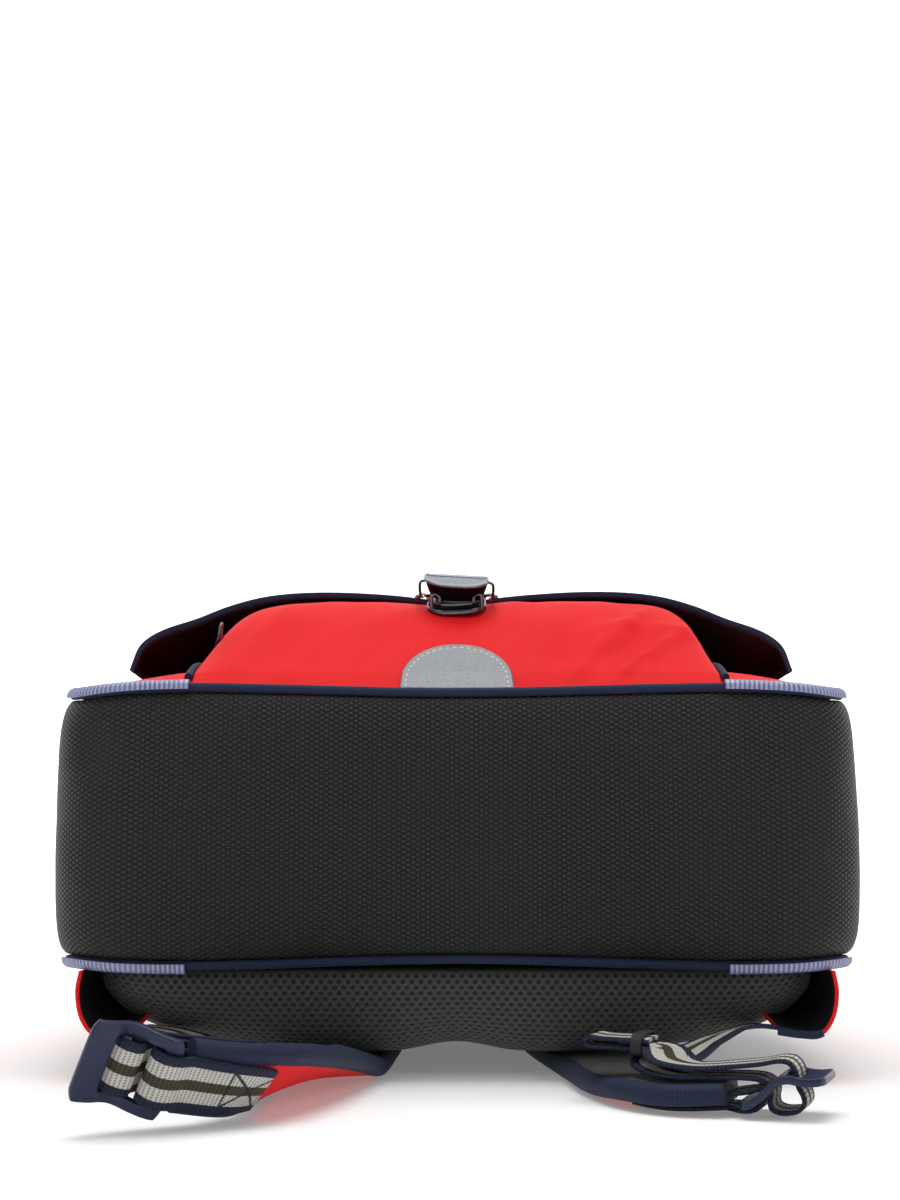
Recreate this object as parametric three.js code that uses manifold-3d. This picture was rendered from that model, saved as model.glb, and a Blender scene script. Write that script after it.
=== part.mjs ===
// A school satchel worn as a backpack, lying on its back with its base towards -Y and its flap up.
// All lengths are in millimetres. X runs across the bag, Y from the base to the mouth, Z up from the ground.
// The bag is drawn with the middle of its base at X 0, Y 0, and the whole group is centred at the end.
import * as THREE from "three";
import { mergeVertices } from "three/addons/utils/BufferGeometryUtils.js";
import Module from "manifold-3d";

const wasm = await Module();
wasm.setup();

// The body of the bag
const BAG_WIDTH = 410;
const BAG_HEIGHT = 330;
const BODY_DEPTH = 139;
const CORNER_RADIUS = 40;
const GUSSET_BULGE = 7;
const SIDE_SWELL = 8;
const SIDE_DROP = 12;
const BASE_WRAP = 52;
const WALL = 2.5;
const FRONT_CROWN = 14;
const CROWN_RUN = 70;
const PIPING_RADIUS = 2.4;
const FIT = 0.3;

// The ribbed guards over the piping at the four corners
const GUARD_WALL = 1.3;
const GUARD_REACH = 24;

// The back pad and the carrying straps
const PAD_THICKNESS = 42;
const PAD_SIDE_INSET = 18;
const PAD_BASE_INSET = 10.5;
const PAD_TOP_INSET = 30;
const PAD_RIM = 4;
const PAD_END_ROUND = 40;
const SPINE_DEPTH = 5;
const SPINE_WIDTH = 22;
const STRAP_THICKNESS = 10;
const STRAP_WIDTH = 60;
const WEBBING_WIDTH = 25;
const WEBBING_THICKNESS = 1.8;
const SEWN_LENGTH = 46;

// The front pocket with its patch, piping and zip
const POCKET_WIDTH = 266;
const POCKET_HEIGHT = 204;
const POCKET_DEPTH = 34.5;
const POCKET_RIM = 3;
const POCKET_WALL = 2;
const POCKET_SLOPE_RUN = 88;
const POCKET_TOP_ROUND = 35;
const POCKET_CORNER = 34;
const POCKET_PIPING_RADIUS = 2;
const PATCH_WIDTH = 57;
const PATCH_HEIGHT = 33;
const PATCH_WALL = 1;
const ZIP_WIDTH = 7;
const ZIP_WALL = 1.2;
const ZIP_LEVEL = 0.42;

// The flap
const FLAP_WIDTH = 386;
const FLAP_EDGE = 108;
const FLAP_RISE = 56;
const FLAP_WALL = 3;

// The handle
const HANDLE_SPAN = 104;
const HANDLE_RISE = 27;
const HANDLE_RADIUS = 6.5;
const ANCHOR_PLATE = 3;

// The lock in the middle of the flap
const LOCK_PLATE_WIDTH = 32;
const LOCK_PLATE_DEPTH = 22;
const LOCK_PLATE_WALL = 2;
const LOCK_BOX_WIDTH = 25;
const LOCK_BOX_HEIGHT = 5;
const LEVER_WIDTH = 35;
const LEVER_WALL = 1.4;
const LEVER_HEIGHT = 15.5;
const LOCK_TILT = 20;
const LOCK_Y = 74;
const WIRE_RADIUS = 0.8;
const HOOK_RADIUS = 1.1;
const PIVOT_RADIUS = 1.7;

// The ladder locks at the ends of the straps
const LADDER_WIDTH = 38;
const LADDER_LENGTH = 39;
const LADDER_WALL = 3.6;
const LADDER_SLOT = 27;

// Levels and lines that follow from the sizes above
const SEAM_HALF = BAG_WIDTH / 2 - GUSSET_BULGE;
const SEAM_FLAT = SEAM_HALF - CORNER_RADIUS;
const SEAM_ARC = (Math.PI / 2) * CORNER_RADIUS;
const SEAM_LENGTH = SEAM_FLAT + SEAM_ARC + BAG_HEIGHT - GUSSET_BULGE - CORNER_RADIUS;
const PAD_TOP_Z = STRAP_THICKNESS + 3 + PAD_THICKNESS;
const Z_BACK = PAD_TOP_Z + FIT + WALL / 2;
const Z_FRONT = Z_BACK + BODY_DEPTH;
const PANEL_INSET = PIPING_RADIUS + FIT + 0.2;

const clamp = THREE.MathUtils.clamp;
const lerp = THREE.MathUtils.lerp;
const vector = (x, y, z) => new THREE.Vector3(x, y, z);

function material(hex, roughness, metalness = 0) {
  return new THREE.MeshStandardMaterial({ color: hex, roughness, metalness });
}

const FINISH = {
  base: material(0x1c1e1d, 0.75),
  red: material(0xe8282c, 0.7),
  navy: material(0x1b2440, 0.8),
  guard: material(0xb9bcd4, 0.3),
  mesh: material(0x2a2e2a, 0.9),
  webbing: material(0xbdb8b0, 0.8),
  plastic: material(0x1f2a4d, 0.35),
  lining: material(0x141011, 0.8),
  silver: material(0x9a9fa3, 0.5),
  metal: material(0x3a3839, 0.22, 1),
  black: material(0x0b0c0b, 0.3),
};

const bag = new THREE.Group();
bag.name = "satchel";

function add(name, geometry, finish) {
  const mesh = new THREE.Mesh(geometry, finish);
  mesh.name = name;
  bag.add(mesh);
  return mesh;
}

// A mesh from points and triangles, turned round if its faces point inwards.
function closedBody(points, triangles) {
  let volume = 0;
  for (const [a, b, c] of triangles) {
    volume += points[a].dot(points[b].clone().cross(points[c]));
  }
  const order = volume < 0 ? triangles.map(([a, b, c]) => [a, c, b]) : triangles;
  const geometry = new THREE.BufferGeometry();
  const flat = points.flatMap((p) => [p.x, p.y, p.z]);
  geometry.setAttribute("position", new THREE.Float32BufferAttribute(flat, 3));
  geometry.setIndex(order.flat());
  return geometry;
}

// The solid between two grids of points with the same rows and columns.
function slab(outer, inner) {
  const rows = outer.length;
  const columns = outer[0].length;
  const points = [...outer.flat(), ...inner.flat()];
  const far = rows * columns;
  const triangles = [];
  const quad = (a, b, c, d) => triangles.push([a, b, c], [a, c, d]);
  for (let i = 0; i + 1 < rows; i++) {
    for (let j = 0; j + 1 < columns; j++) {
      const a = i * columns + j;
      const b = a + 1;
      const c = a + columns + 1;
      const d = a + columns;
      quad(a, b, c, d);
      quad(far + a, far + d, far + c, far + b);
    }
  }
  for (let j = 0; j + 1 < columns; j++) {
    const last = (rows - 1) * columns + j;
    quad(j + 1, j, far + j, far + j + 1);
    quad(last, last + 1, far + last + 1, far + last);
  }
  for (let i = 0; i + 1 < rows; i++) {
    const left = i * columns;
    const right = left + columns - 1;
    quad(left, left + columns, far + left + columns, far + left);
    quad(right + columns, right, far + right, far + right + columns);
  }
  return closedBody(points, triangles);
}

// A surface as a grid of points over two lists of parameters.
const gridOver = (surface, us, vs) => vs.map((v) => us.map((u) => surface(u, v)));
const shares = (count) => Array.from({ length: count + 1 }, (_, i) => i / count);
const grid = (surface, columns, rows) => gridOver(surface, shares(columns), shares(rows));

// The grid moved along its own normals.
function offsetGrid(points, distance) {
  const rows = points.length;
  const columns = points[0].length;
  return points.map((row, i) => row.map((p, j) => {
    const across = row[Math.min(j + 1, columns - 1)].clone().sub(row[Math.max(j - 1, 0)]);
    const along = points[Math.min(i + 1, rows - 1)][j].clone().sub(points[Math.max(i - 1, 0)][j]);
    return p.clone().addScaledVector(across.cross(along).normalize(), distance);
  }));
}

// A sheet of an even wall behind a grid; a negative wall lies on the other side.
const sheet = (outer, wall) => slab(outer, offsetGrid(outer, -wall));

// A closed body through rings of points, with both ends capped.
function loft(rings) {
  const count = rings[0].length;
  const points = rings.flat();
  const triangles = [];
  for (let i = 0; i + 1 < rings.length; i++) {
    for (let j = 0; j < count; j++) {
      const k = (j + 1) % count;
      const a = i * count + j;
      const b = i * count + k;
      triangles.push([a, b, b + count], [a, b + count, a + count]);
    }
  }
  const last = (rings.length - 1) * count;
  for (let j = 1; j + 1 < count; j++) {
    triangles.push([0, j + 1, j], [last, last + j, last + j + 1]);
  }
  return closedBody(points, triangles);
}

// A round bar along a smooth line, with its ends cut square.
function tube(points, radius, sides, steps) {
  const circle = new THREE.Shape();
  circle.absarc(0, 0, radius, 0, Math.PI * 2);
  const path = new THREE.CatmullRomCurve3(points, false, "centripetal");
  const made = new THREE.ExtrudeGeometry(circle, {
    steps,
    curveSegments: sides,
    bevelEnabled: false,
    extrudePath: path,
  });
  return tidy(made);
}

// The same mesh with shared corners and nothing but positions.
function tidy(geometry) {
  const bare = geometry.clone();
  bare.deleteAttribute("normal");
  bare.deleteAttribute("uv");
  return mergeVertices(bare, 1e-4);
}

function solidOf(geometry) {
  const clean = tidy(geometry);
  return new wasm.Manifold(new wasm.Mesh({
    numProp: 3,
    vertProperties: new Float32Array(clean.attributes.position.array),
    triVerts: new Uint32Array(clean.index.array),
  }));
}

function geometryOf(solid) {
  const mesh = solid.getMesh();
  const geometry = new THREE.BufferGeometry();
  geometry.setAttribute("position", new THREE.BufferAttribute(mesh.vertProperties, 3));
  geometry.setIndex(new THREE.BufferAttribute(mesh.triVerts, 1));
  return geometry;
}

function boxAt(width, depth, height, x, y, z) {
  return new THREE.BoxGeometry(width, depth, height).translate(x, y, z);
}

// The seam line: s is the distance along it from the middle of the base, growing to the right.
function seam(s, inset = 0) {
  const side = Math.sign(s) || 1;
  const run = Math.abs(s);
  let x = run;
  let y = GUSSET_BULGE;
  let outX = 0;
  let outY = -1;
  if (run > SEAM_FLAT + SEAM_ARC) {
    x = SEAM_HALF;
    y = GUSSET_BULGE + CORNER_RADIUS + run - SEAM_FLAT - SEAM_ARC;
    outX = 1;
    outY = 0;
  } else if (run > SEAM_FLAT) {
    const turn = (run - SEAM_FLAT) / CORNER_RADIUS;
    outX = Math.sin(turn);
    outY = -Math.cos(turn);
    x = SEAM_FLAT + CORNER_RADIUS * outX;
    y = GUSSET_BULGE + CORNER_RADIUS * (1 + outY);
  }
  return { x: side * (x - inset * outX), y: y - inset * outY, outX: side * outX, outY };
}

// Distances along the seam where its rings fall: even steps round the corners, long ones between them.
const CORNER_STEPS = 6;
const HALF_MARKS = [
  SEAM_FLAT / 2,
  ...shares(CORNER_STEPS).map((share) => SEAM_FLAT + SEAM_ARC * share),
  ...[0.12, 0.25, 0.4, 0.6, 0.8, 1].map((share) => lerp(SEAM_FLAT + SEAM_ARC, SEAM_LENGTH, share)),
];
const SEAM_MARKS = [...HALF_MARKS.map((mark) => -mark).reverse(), 0, ...HALF_MARKS];

function marksBetween(from, to) {
  return [from, ...SEAM_MARKS.filter((mark) => mark > from + 2 && mark < to - 2), to];
}

// How far the strip between the seams stands out past them, t from -1 at the back to 1 at the front.
function bulge(s, t) {
  const start = SEAM_FLAT + SEAM_ARC / 2;
  const share = clamp((Math.abs(s) - start) / (SEAM_LENGTH - start), 0, 1);
  const swell = GUSSET_BULGE + SIDE_SWELL * Math.sin(Math.PI * share ** 0.8) ** 2;
  return swell * (0.45 * (1 - t * t) + 0.55 * Math.sqrt(1 - Math.abs(t) ** 6));
}

const GUSSET_HALF = BODY_DEPTH / 2 - PIPING_RADIUS - FIT;
const MIDDLE_Z = Z_BACK + BODY_DEPTH / 2;

function gussetPoint(s, t) {
  const at = seam(s);
  const out = bulge(s, t);
  return vector(at.x + out * at.outX, at.y + out * at.outY, MIDDLE_Z + t * GUSSET_HALF);
}

// t crowded towards the seams, where the strip turns in.
const crowded = (v) => Math.sin((v - 0.5) * Math.PI);

function gusset(from, to) {
  return sheet(gridOver(gussetPoint, marksBetween(from, to), shares(8).map(crowded)), WALL);
}

const BASE_END = SEAM_FLAT + SEAM_ARC + BASE_WRAP;
add("base_gusset", gusset(-BASE_END, BASE_END), FINISH.base);
const SIDE_TOP = SEAM_LENGTH - SIDE_DROP;
add("side_gusset_left", gusset(-SIDE_TOP, -BASE_END - FIT), FINISH.red);
add("side_gusset_right", gusset(BASE_END + FIT, SIDE_TOP), FINISH.red);

// The face panels end inside the piping. Their rows step round the bottom corners as the seam does.
const PANEL_BASE = GUSSET_BULGE + PANEL_INSET;
const PANEL_RADIUS = CORNER_RADIUS - PANEL_INSET;
const PANEL_ROWS = [
  ...shares(CORNER_STEPS).map((share) => (share * Math.PI) / 2).map((turn) => ({
    y: PANEL_BASE + PANEL_RADIUS * (1 - Math.cos(turn)),
    drawn: PANEL_RADIUS * (1 - Math.sin(turn)),
  })),
  ...[0.2, 0.4, 0.6, 0.8, 1].map((share) => ({
    y: lerp(PANEL_BASE + PANEL_RADIUS, BAG_HEIGHT, share),
    drawn: 0,
  })),
];

// Height of the front panel's outer face over the seam level.
function crown(x, y) {
  const across = clamp(Math.abs(x) / (SEAM_HALF - PANEL_INSET), 0, 1);
  const along = clamp((y - PANEL_BASE) / CROWN_RUN, 0, 1);
  return WALL / 2 + FRONT_CROWN * (1 - across ** 4) * (1 - (1 - along) ** 2.5);
}

const frontPanel = gridOver((u, row) => {
  const x = crowded(u) * (SEAM_HALF - PANEL_INSET - row.drawn);
  return vector(x, row.y, Z_FRONT + crown(x, row.y));
}, shares(14), PANEL_ROWS);
add("front_panel", sheet(frontPanel, WALL), FINISH.red);

function outline(halfWidth, base, top, radius) {
  const shape = new THREE.Shape();
  shape.moveTo(-halfWidth + radius, base);
  shape.lineTo(halfWidth - radius, base);
  shape.absarc(halfWidth - radius, base + radius, radius, -Math.PI / 2, 0);
  shape.lineTo(halfWidth, top);
  shape.lineTo(-halfWidth, top);
  shape.absarc(-halfWidth + radius, base + radius, radius, Math.PI, Math.PI * 1.5);
  return shape;
}

const backShape = outline(SEAM_HALF - PANEL_INSET, PANEL_BASE, BAG_HEIGHT, PANEL_RADIUS);
const backPanel = new THREE.ExtrudeGeometry(backShape, {
  depth: WALL,
  bevelEnabled: false,
  curveSegments: CORNER_STEPS,
});
add("back_panel", tidy(backPanel).translate(0, 0, Z_BACK - WALL / 2), FINISH.mesh);

// A point at a distance and a turn round the seam line; turn 0 points straight out of the bag.
function roundSeam(s, z, radius, turn) {
  const at = seam(s);
  const out = radius * Math.cos(turn);
  return vector(at.x + out * at.outX, at.y + out * at.outY, z + radius * Math.sin(turn));
}

// Piping along both seams, from the mouth down one side, round the base and up the other side.
const PIPING_TURNS = shares(6).slice(1).map((share) => share * Math.PI * 2);
for (const [name, z] of [["back_piping", Z_BACK], ["front_piping", Z_FRONT]]) {
  const rings = marksBetween(-SIDE_TOP, SIDE_TOP).map((s) =>
    PIPING_TURNS.map((turn) => roundSeam(s, z, PIPING_RADIUS, turn)));
  add(name, loft(rings), FINISH.navy);
}

// A guard is a split sleeve over the piping: open on its inner side, where panel and strip run in.
const GUARD_INNER = PIPING_RADIUS + FIT + 0.1;
const GUARD_TURNS = [-12, 30, 70, 110, 138].map(THREE.MathUtils.degToRad);

function guard(side, z, up) {
  const marks = marksBetween(SEAM_FLAT - GUARD_REACH, SEAM_FLAT + SEAM_ARC + GUARD_REACH);
  const shell = (radius) =>
    gridOver((turn, s) => roundSeam(side * s, z, radius, up * turn), GUARD_TURNS, marks);
  return slab(shell(GUARD_INNER + GUARD_WALL), shell(GUARD_INNER));
}

for (const [edge, z, up] of [["back", Z_BACK, -1], ["front", Z_FRONT, 1]]) {
  add(`corner_guard_${edge}_left`, guard(-1, z, up), FINISH.guard);
  add(`corner_guard_${edge}_right`, guard(1, z, up), FINISH.guard);
}

// The back pad: flat against the back panel, crowned below, with a shallow channel along the spine.
const PAD_HALF = SEAM_HALF - PAD_SIDE_INSET;
const PAD_BASE = PAD_BASE_INSET;
const PAD_END = BAG_HEIGHT - PAD_TOP_INSET;

function padDepth(across, y) {
  const near = clamp((y - PAD_BASE) / PAD_END_ROUND, 0, 1);
  const far = clamp((PAD_END - y) / PAD_END_ROUND, 0, 1);
  const ends = Math.sqrt(1 - (1 - near) ** 2) * Math.sqrt(1 - (1 - far) ** 2);
  const side = Math.sqrt(Math.max(0, 1 - Math.abs(across) ** 2.6));
  const x = across * PAD_HALF;
  const spine = SPINE_DEPTH * Math.exp(-((x / SPINE_WIDTH) ** 2));
  return PAD_RIM + (PAD_THICKNESS - PAD_RIM - spine) * side * ends;
}

function padRow(v) {
  const y = PAD_BASE + (PAD_END - PAD_BASE) * (0.5 - 0.5 * Math.cos(v * Math.PI));
  const turn = clamp(1 - (y - PAD_BASE) / CORNER_RADIUS, 0, 1);
  return { y, half: PAD_HALF - CORNER_RADIUS * (1 - Math.sqrt(1 - turn ** 2)) };
}

function padGrid(below) {
  return grid((u, v) => {
    const { y, half } = padRow(v);
    const x = crowded(u) * half;
    const depth = below ? padDepth(crowded(u), y) : 0;
    return vector(x, y, PAD_TOP_Z - depth);
  }, 16, 14);
}

add("back_pad", slab(padGrid(false), padGrid(true)), FINISH.mesh);

// The front pocket swells from the front panel; its lower wall slopes up from the seam.
const POCKET_BASE = PANEL_BASE + 1;
const POCKET_END = POCKET_BASE + POCKET_HEIGHT;

const pocketHalf = (y) => {
  const turn = clamp(1 - (POCKET_END - y) / POCKET_CORNER, 0, 1);
  return POCKET_WIDTH / 2 - POCKET_CORNER * (1 - Math.sqrt(1 - turn ** 2));
};

function pocketLift(across, y) {
  const near = clamp((y - POCKET_BASE) / POCKET_SLOPE_RUN, 0, 1);
  const far = clamp((POCKET_END - y) / POCKET_TOP_ROUND, 0, 1);
  const along = Math.sin((near * Math.PI) / 2) ** 1.6 * Math.sqrt(1 - (1 - far) ** 2);
  return Math.sqrt(Math.max(0, 1 - Math.abs(across) ** 8)) * along;
}

function pocketPoint(across, y) {
  const x = across * pocketHalf(y);
  const lift = POCKET_RIM + (POCKET_DEPTH - POCKET_RIM) * pocketLift(across, y);
  return vector(x, y, Z_FRONT + crown(x, y) + lift);
}

const pocketRowY = (v) => POCKET_BASE + POCKET_HEIGHT * (0.5 - 0.5 * Math.cos(v * Math.PI));
const pocketGrid = grid((u, v) => pocketPoint(crowded(u), pocketRowY(v)), 18, 14);
add("front_pocket", sheet(pocketGrid, POCKET_WALL), FINISH.red);

// Piping along the foot of the pocket's sides and top.
const PIPING_OFF = POCKET_PIPING_RADIUS + FIT + 0.3;

function footPoint(turn) {
  const out = POCKET_CORNER + PIPING_OFF;
  const x = POCKET_WIDTH / 2 - POCKET_CORNER + out * Math.cos(turn);
  return { x, y: POCKET_END - POCKET_CORNER + out * Math.sin(turn) };
}

const footSide = [4, 12, 22, 36, 60, 100, 140].map((up) => ({
  x: POCKET_WIDTH / 2 + PIPING_OFF,
  y: POCKET_BASE + up,
}));
const footCorner = shares(6).map((share) => footPoint((share * Math.PI) / 2));
const footHalf = [...footSide, ...footCorner, { x: POCKET_WIDTH / 6, y: POCKET_END + PIPING_OFF }];
const footLine = [...footHalf, ...footHalf.map(({ x, y }) => ({ x: -x, y })).reverse()];
const footRings = footLine.map((at, i) => {
  const before = footLine[Math.max(i - 1, 0)];
  const after = footLine[Math.min(i + 1, footLine.length - 1)];
  const out = new THREE.Vector2(after.y - before.y, before.x - after.x).normalize();
  const z = Z_FRONT + crown(at.x, at.y) + PIPING_OFF;
  return PIPING_TURNS.map((turn) => {
    const reach = POCKET_PIPING_RADIUS * Math.cos(turn);
    return vector(at.x + out.x * reach, at.y + out.y * reach, z + POCKET_PIPING_RADIUS * Math.sin(turn));
  });
});
add("pocket_piping", loft(footRings), FINISH.navy);

function pocketNormal(x, y) {
  const step = 1;
  const across = pocketPoint((x + step) / pocketHalf(y), y).sub(pocketPoint((x - step) / pocketHalf(y), y));
  const along = pocketPoint(x / pocketHalf(y + step), y + step).sub(pocketPoint(x / pocketHalf(y - step), y - step));
  return across.cross(along).normalize();
}

// A point lifted off the pocket along the pocket's own normal.
const overPocket = (x, y, gap) =>
  pocketPoint(x / pocketHalf(y), y).addScaledVector(pocketNormal(x, y), gap);

// The half-round patch stands on the pocket's lower edge.
const patchGrid = grid((u, v) => {
  const up = v * 0.985;
  const half = (PATCH_WIDTH / 2) * Math.sqrt(1 - up ** 2.4);
  return overPocket((2 * u - 1) * half, POCKET_BASE + 2 + up * PATCH_HEIGHT * 0.8, FIT + PATCH_WALL + 0.2);
}, 10, 7);
add("reflector_patch", sheet(patchGrid, PATCH_WALL), FINISH.silver);

// The zip runs up the pocket's left wall, over its top and down the right wall, all at one level.
const ZIP_CENTRE_Y = POCKET_BASE + POCKET_HEIGHT * 0.45;
const ZIP_FROM = -21;

function zipPoint(degrees) {
  const turn = THREE.MathUtils.degToRad(degrees);
  let inside = 0;
  let outside = POCKET_WIDTH;
  for (let i = 0; i < 24; i++) {
    const reach = (inside + outside) / 2;
    const x = reach * Math.cos(turn);
    const y = ZIP_CENTRE_Y + reach * Math.sin(turn);
    const within = y < POCKET_END && Math.abs(x) < pocketHalf(y) && pocketLift(x / pocketHalf(y), y) > ZIP_LEVEL;
    inside = within ? reach : inside;
    outside = within ? outside : reach;
  }
  return { x: inside * Math.cos(turn), y: ZIP_CENTRE_Y + inside * Math.sin(turn) };
}

// A ribbon through stations: each has its centre c, the direction of its width w, its width and its thickness.
// The edges are cut square, or rounded where rounded is true.
function ribbon(stations, steps, rounded = false) {
  const path = new THREE.CatmullRomCurve3(stations.map((s) => s.c), false, "centripetal");
  const frames = framesAlong(stations, path, steps);
  return { geometry: loft(frames.map((f) => ribbonRing(f, rounded))), frames };
}

function framesAlong(stations, path, steps) {
  const last = stations.length - 1;
  return Array.from({ length: steps + 1 }, (_, i) => {
    const share = i / steps;
    const place = share * last;
    const k = Math.min(Math.floor(place), last - 1);
    const part = place - k;
    const t = path.getTangent(share);
    const w = stations[k].w.clone().lerp(stations[k + 1].w, part);
    w.addScaledVector(t, -t.dot(w)).normalize();
    return {
      c: path.getPoint(share),
      t,
      w,
      n: t.clone().cross(w),
      width: lerp(stations[k].width, stations[k + 1].width, part),
      thick: lerp(stations[k].thick, stations[k + 1].thick, part),
    };
  });
}

// Frames at the stations themselves, headed from one neighbour to the other.
const stationFrames = (stations) => stations.map((at, i) => {
  const before = stations[Math.max(i - 1, 0)];
  const after = stations[Math.min(i + 1, stations.length - 1)];
  const t = after.c.clone().sub(before.c).normalize();
  const w = at.w.clone().addScaledVector(t, -t.dot(at.w)).normalize();
  return { ...at, t, w, n: t.clone().cross(w) };
});

function ribbonRing({ c, w, n, width, thick }, rounded) {
  const a = width / 2;
  const b = thick / 2;
  const cut = rounded ? b * 0.55 : 0;
  const corners = rounded
    ? [[a, b - cut], [a - cut, b], [cut - a, b], [-a, b - cut], [-a, cut - b], [cut - a, -b], [a - cut, -b], [a, cut - b]]
    : [[a, b], [-a, b], [-a, -b], [a, -b]];
  return corners.map(([p, q]) => c.clone().addScaledVector(w, p).addScaledVector(n, q));
}

// A padded strap: it hangs from the back panel, runs flat under the pad and rolls up towards its end.
// Columns: x of the middle as a share of the bag's width, y as a share of its height, the lean of the strap in
// degrees (the side of +w raised), its lift as a share of its thickness and its share of the full width.
const STRAP_LEFT = [
  { x: -0.1366, y: 0.6061, lean: 0, lift: 0, wide: 1 },
  { x: -0.1463, y: 0.3333, lean: 0, lift: 0, wide: 1 },
  { x: -0.1463, y: 0.1212, lean: 0, lift: 0, wide: 0.97 },
  { x: -0.1512, y: -0.0527, lean: 12, lift: 0, wide: 0.86 },
  { x: -0.1805, y: -0.2294, lean: 28, lift: 0, wide: 0.76 },
  { x: -0.2073, y: -0.3269, lean: 42, lift: 0, wide: 0.68 },
  { x: -0.2366, y: -0.3875, lean: 55, lift: 0.1, wide: 0.62 },
  { x: -0.2829, y: -0.4271, lean: 63, lift: 0.5, wide: 0.58 },
];
const STRAP_RIGHT = [
  { x: 0.1463, y: 0.6061, lean: 0, lift: 0, wide: 1 },
  { x: 0.1707, y: 0.3333, lean: 0, lift: 0, wide: 1 },
  { x: 0.1951, y: 0.0909, lean: 0, lift: 0, wide: 0.97 },
  { x: 0.2098, y: -0.0949, lean: 0, lift: 0.06, wide: 0.9 },
  { x: 0.2244, y: -0.1898, lean: 0, lift: 0.26, wide: 0.8 },
  { x: 0.2512, y: -0.2478, lean: 0, lift: 0.32, wide: 0.68 },
  { x: 0.2951, y: -0.2663, lean: 0, lift: 0.46, wide: 0.6 },
];
const STRAP_ROOT_X = BAG_WIDTH * 0.112;
const STRAP_DROP_Y = BAG_HEIGHT - 13;

function strapStations(rows, side) {
  const flat = STRAP_THICKNESS / 2;
  const station = (x, y, z, w, wide) => ({
    c: vector(x, y, z),
    w,
    width: STRAP_WIDTH * wide,
    thick: STRAP_THICKNESS,
  });
  const root = side * STRAP_ROOT_X;
  const rootTop = Z_BACK - WALL / 2 - FIT;
  const head = [
    station(root, STRAP_DROP_Y, rootTop, vector(1, 0, 0), 1),
    station(root, STRAP_DROP_Y, rootTop * 0.62, vector(1, 0, 0), 1),
    station(side * (STRAP_ROOT_X + 1), STRAP_DROP_Y - 7, flat + 10, vector(1, 0, 0), 1),
    station(side * (STRAP_ROOT_X + 2), STRAP_DROP_Y - 20, flat + 2, vector(1, 0, 0), 1),
    station(side * (STRAP_ROOT_X + 3), STRAP_DROP_Y - 42, flat, vector(1, 0, 0), 1),
    station(side * (STRAP_ROOT_X + 5), STRAP_DROP_Y - 70, flat, vector(1, 0, 0), 1),
  ];
  const body = rows.map((row, i) => {
    const before = rows[Math.max(i - 1, 0)];
    const after = rows[Math.min(i + 1, rows.length - 1)];
    const across = (after.x - before.x) * BAG_WIDTH;
    const along = (after.y - before.y) * BAG_HEIGHT;
    const heading = new THREE.Vector2(across, along).normalize();
    const lean = THREE.MathUtils.degToRad(row.lean);
    const w = vector(-heading.y * Math.cos(lean), heading.x * Math.cos(lean), Math.sin(lean));
    const half = (STRAP_WIDTH * row.wide) / 2;
    const z = half * Math.sin(lean) + flat * Math.cos(lean) + row.lift * STRAP_THICKNESS;
    return station(row.x * BAG_WIDTH, row.y * BAG_HEIGHT, z, w, row.wide);
  });
  return [...head, ...body];
}

// A ladder lock: a plate with a bent side profile, cut by two slots. Local x runs along its bars,
// y away from the strap and z out of the strap's outer face.
const LADDER_PROFILE = [
  { along: 0, out: 1.3 },
  { along: 0.12, out: 1.25 },
  { along: 0.3, out: 0.1 },
  { along: 0.45, out: -1.3 },
  { along: 0.58, out: -1.6 },
  { along: 0.78, out: -1.1 },
  { along: 1, out: -1.2 },
];
const SLOT_NEAR = [0.218, 0.436];
const SLOT_FAR = [0.551, 0.769];

function ladderLock() {
  const middle = new THREE.SplineCurve(LADDER_PROFILE.map((row) =>
    new THREE.Vector2(row.along * LADDER_LENGTH, row.out * LADDER_WALL)));
  const count = 14;
  const side = (sign) => Array.from({ length: count + 1 }, (_, i) => {
    const at = middle.getPoint(i / count);
    const heading = middle.getTangent(i / count);
    return new THREE.Vector2(at.x - heading.y * sign, at.y + heading.x * sign);
  });
  const edge = LADDER_WALL / 2;
  const loop = [...side(edge), ...side(-edge).reverse()];
  const plate = new THREE.ExtrudeGeometry(new THREE.Shape(loop), { depth: LADDER_WIDTH, bevelEnabled: false });
  plate.translate(0, 0, -LADDER_WIDTH / 2);
  plate.applyMatrix4(new THREE.Matrix4().makeBasis(vector(0, 1, 0), vector(0, 0, 1), vector(1, 0, 0)));
  const round = new THREE.Shape();
  const half = LADDER_WIDTH / 2;
  const corner = 8;
  round.absarc(half - corner, corner - 2, corner, -Math.PI / 2, 0);
  round.absarc(half - corner, LADDER_LENGTH - corner + 2, corner, 0, Math.PI / 2);
  round.absarc(corner - half, LADDER_LENGTH - corner + 2, corner, Math.PI / 2, Math.PI);
  round.absarc(corner - half, corner - 2, corner, Math.PI, Math.PI * 1.5);
  const tall = LADDER_WALL * 8;
  const plan = new THREE.ExtrudeGeometry(round, { depth: tall, bevelEnabled: false, curveSegments: 5 });
  plan.translate(0, 0, -tall / 2);
  const slot = ([from, to]) =>
    solidOf(boxAt(LADDER_SLOT, (to - from) * LADDER_LENGTH, tall, 0, ((from + to) / 2) * LADDER_LENGTH, 0));
  const body = solidOf(plate).intersect(solidOf(plan)).subtract(slot(SLOT_NEAR)).subtract(slot(SLOT_FAR));
  return geometryOf(body);
}

// The frame at a strap's end, as a matrix from the ladder lock's local axes.
const LOCK_GAP = 6;

function lockFrame(end) {
  const outward = end.n.clone().negate();
  const place = end.c.clone().addScaledVector(end.t, LOCK_GAP);
  const x = end.w.clone();
  const y = x.clone().cross(outward).multiplyScalar(-1);
  return new THREE.Matrix4().makeBasis(x, y, outward).setPosition(place);
}

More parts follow.
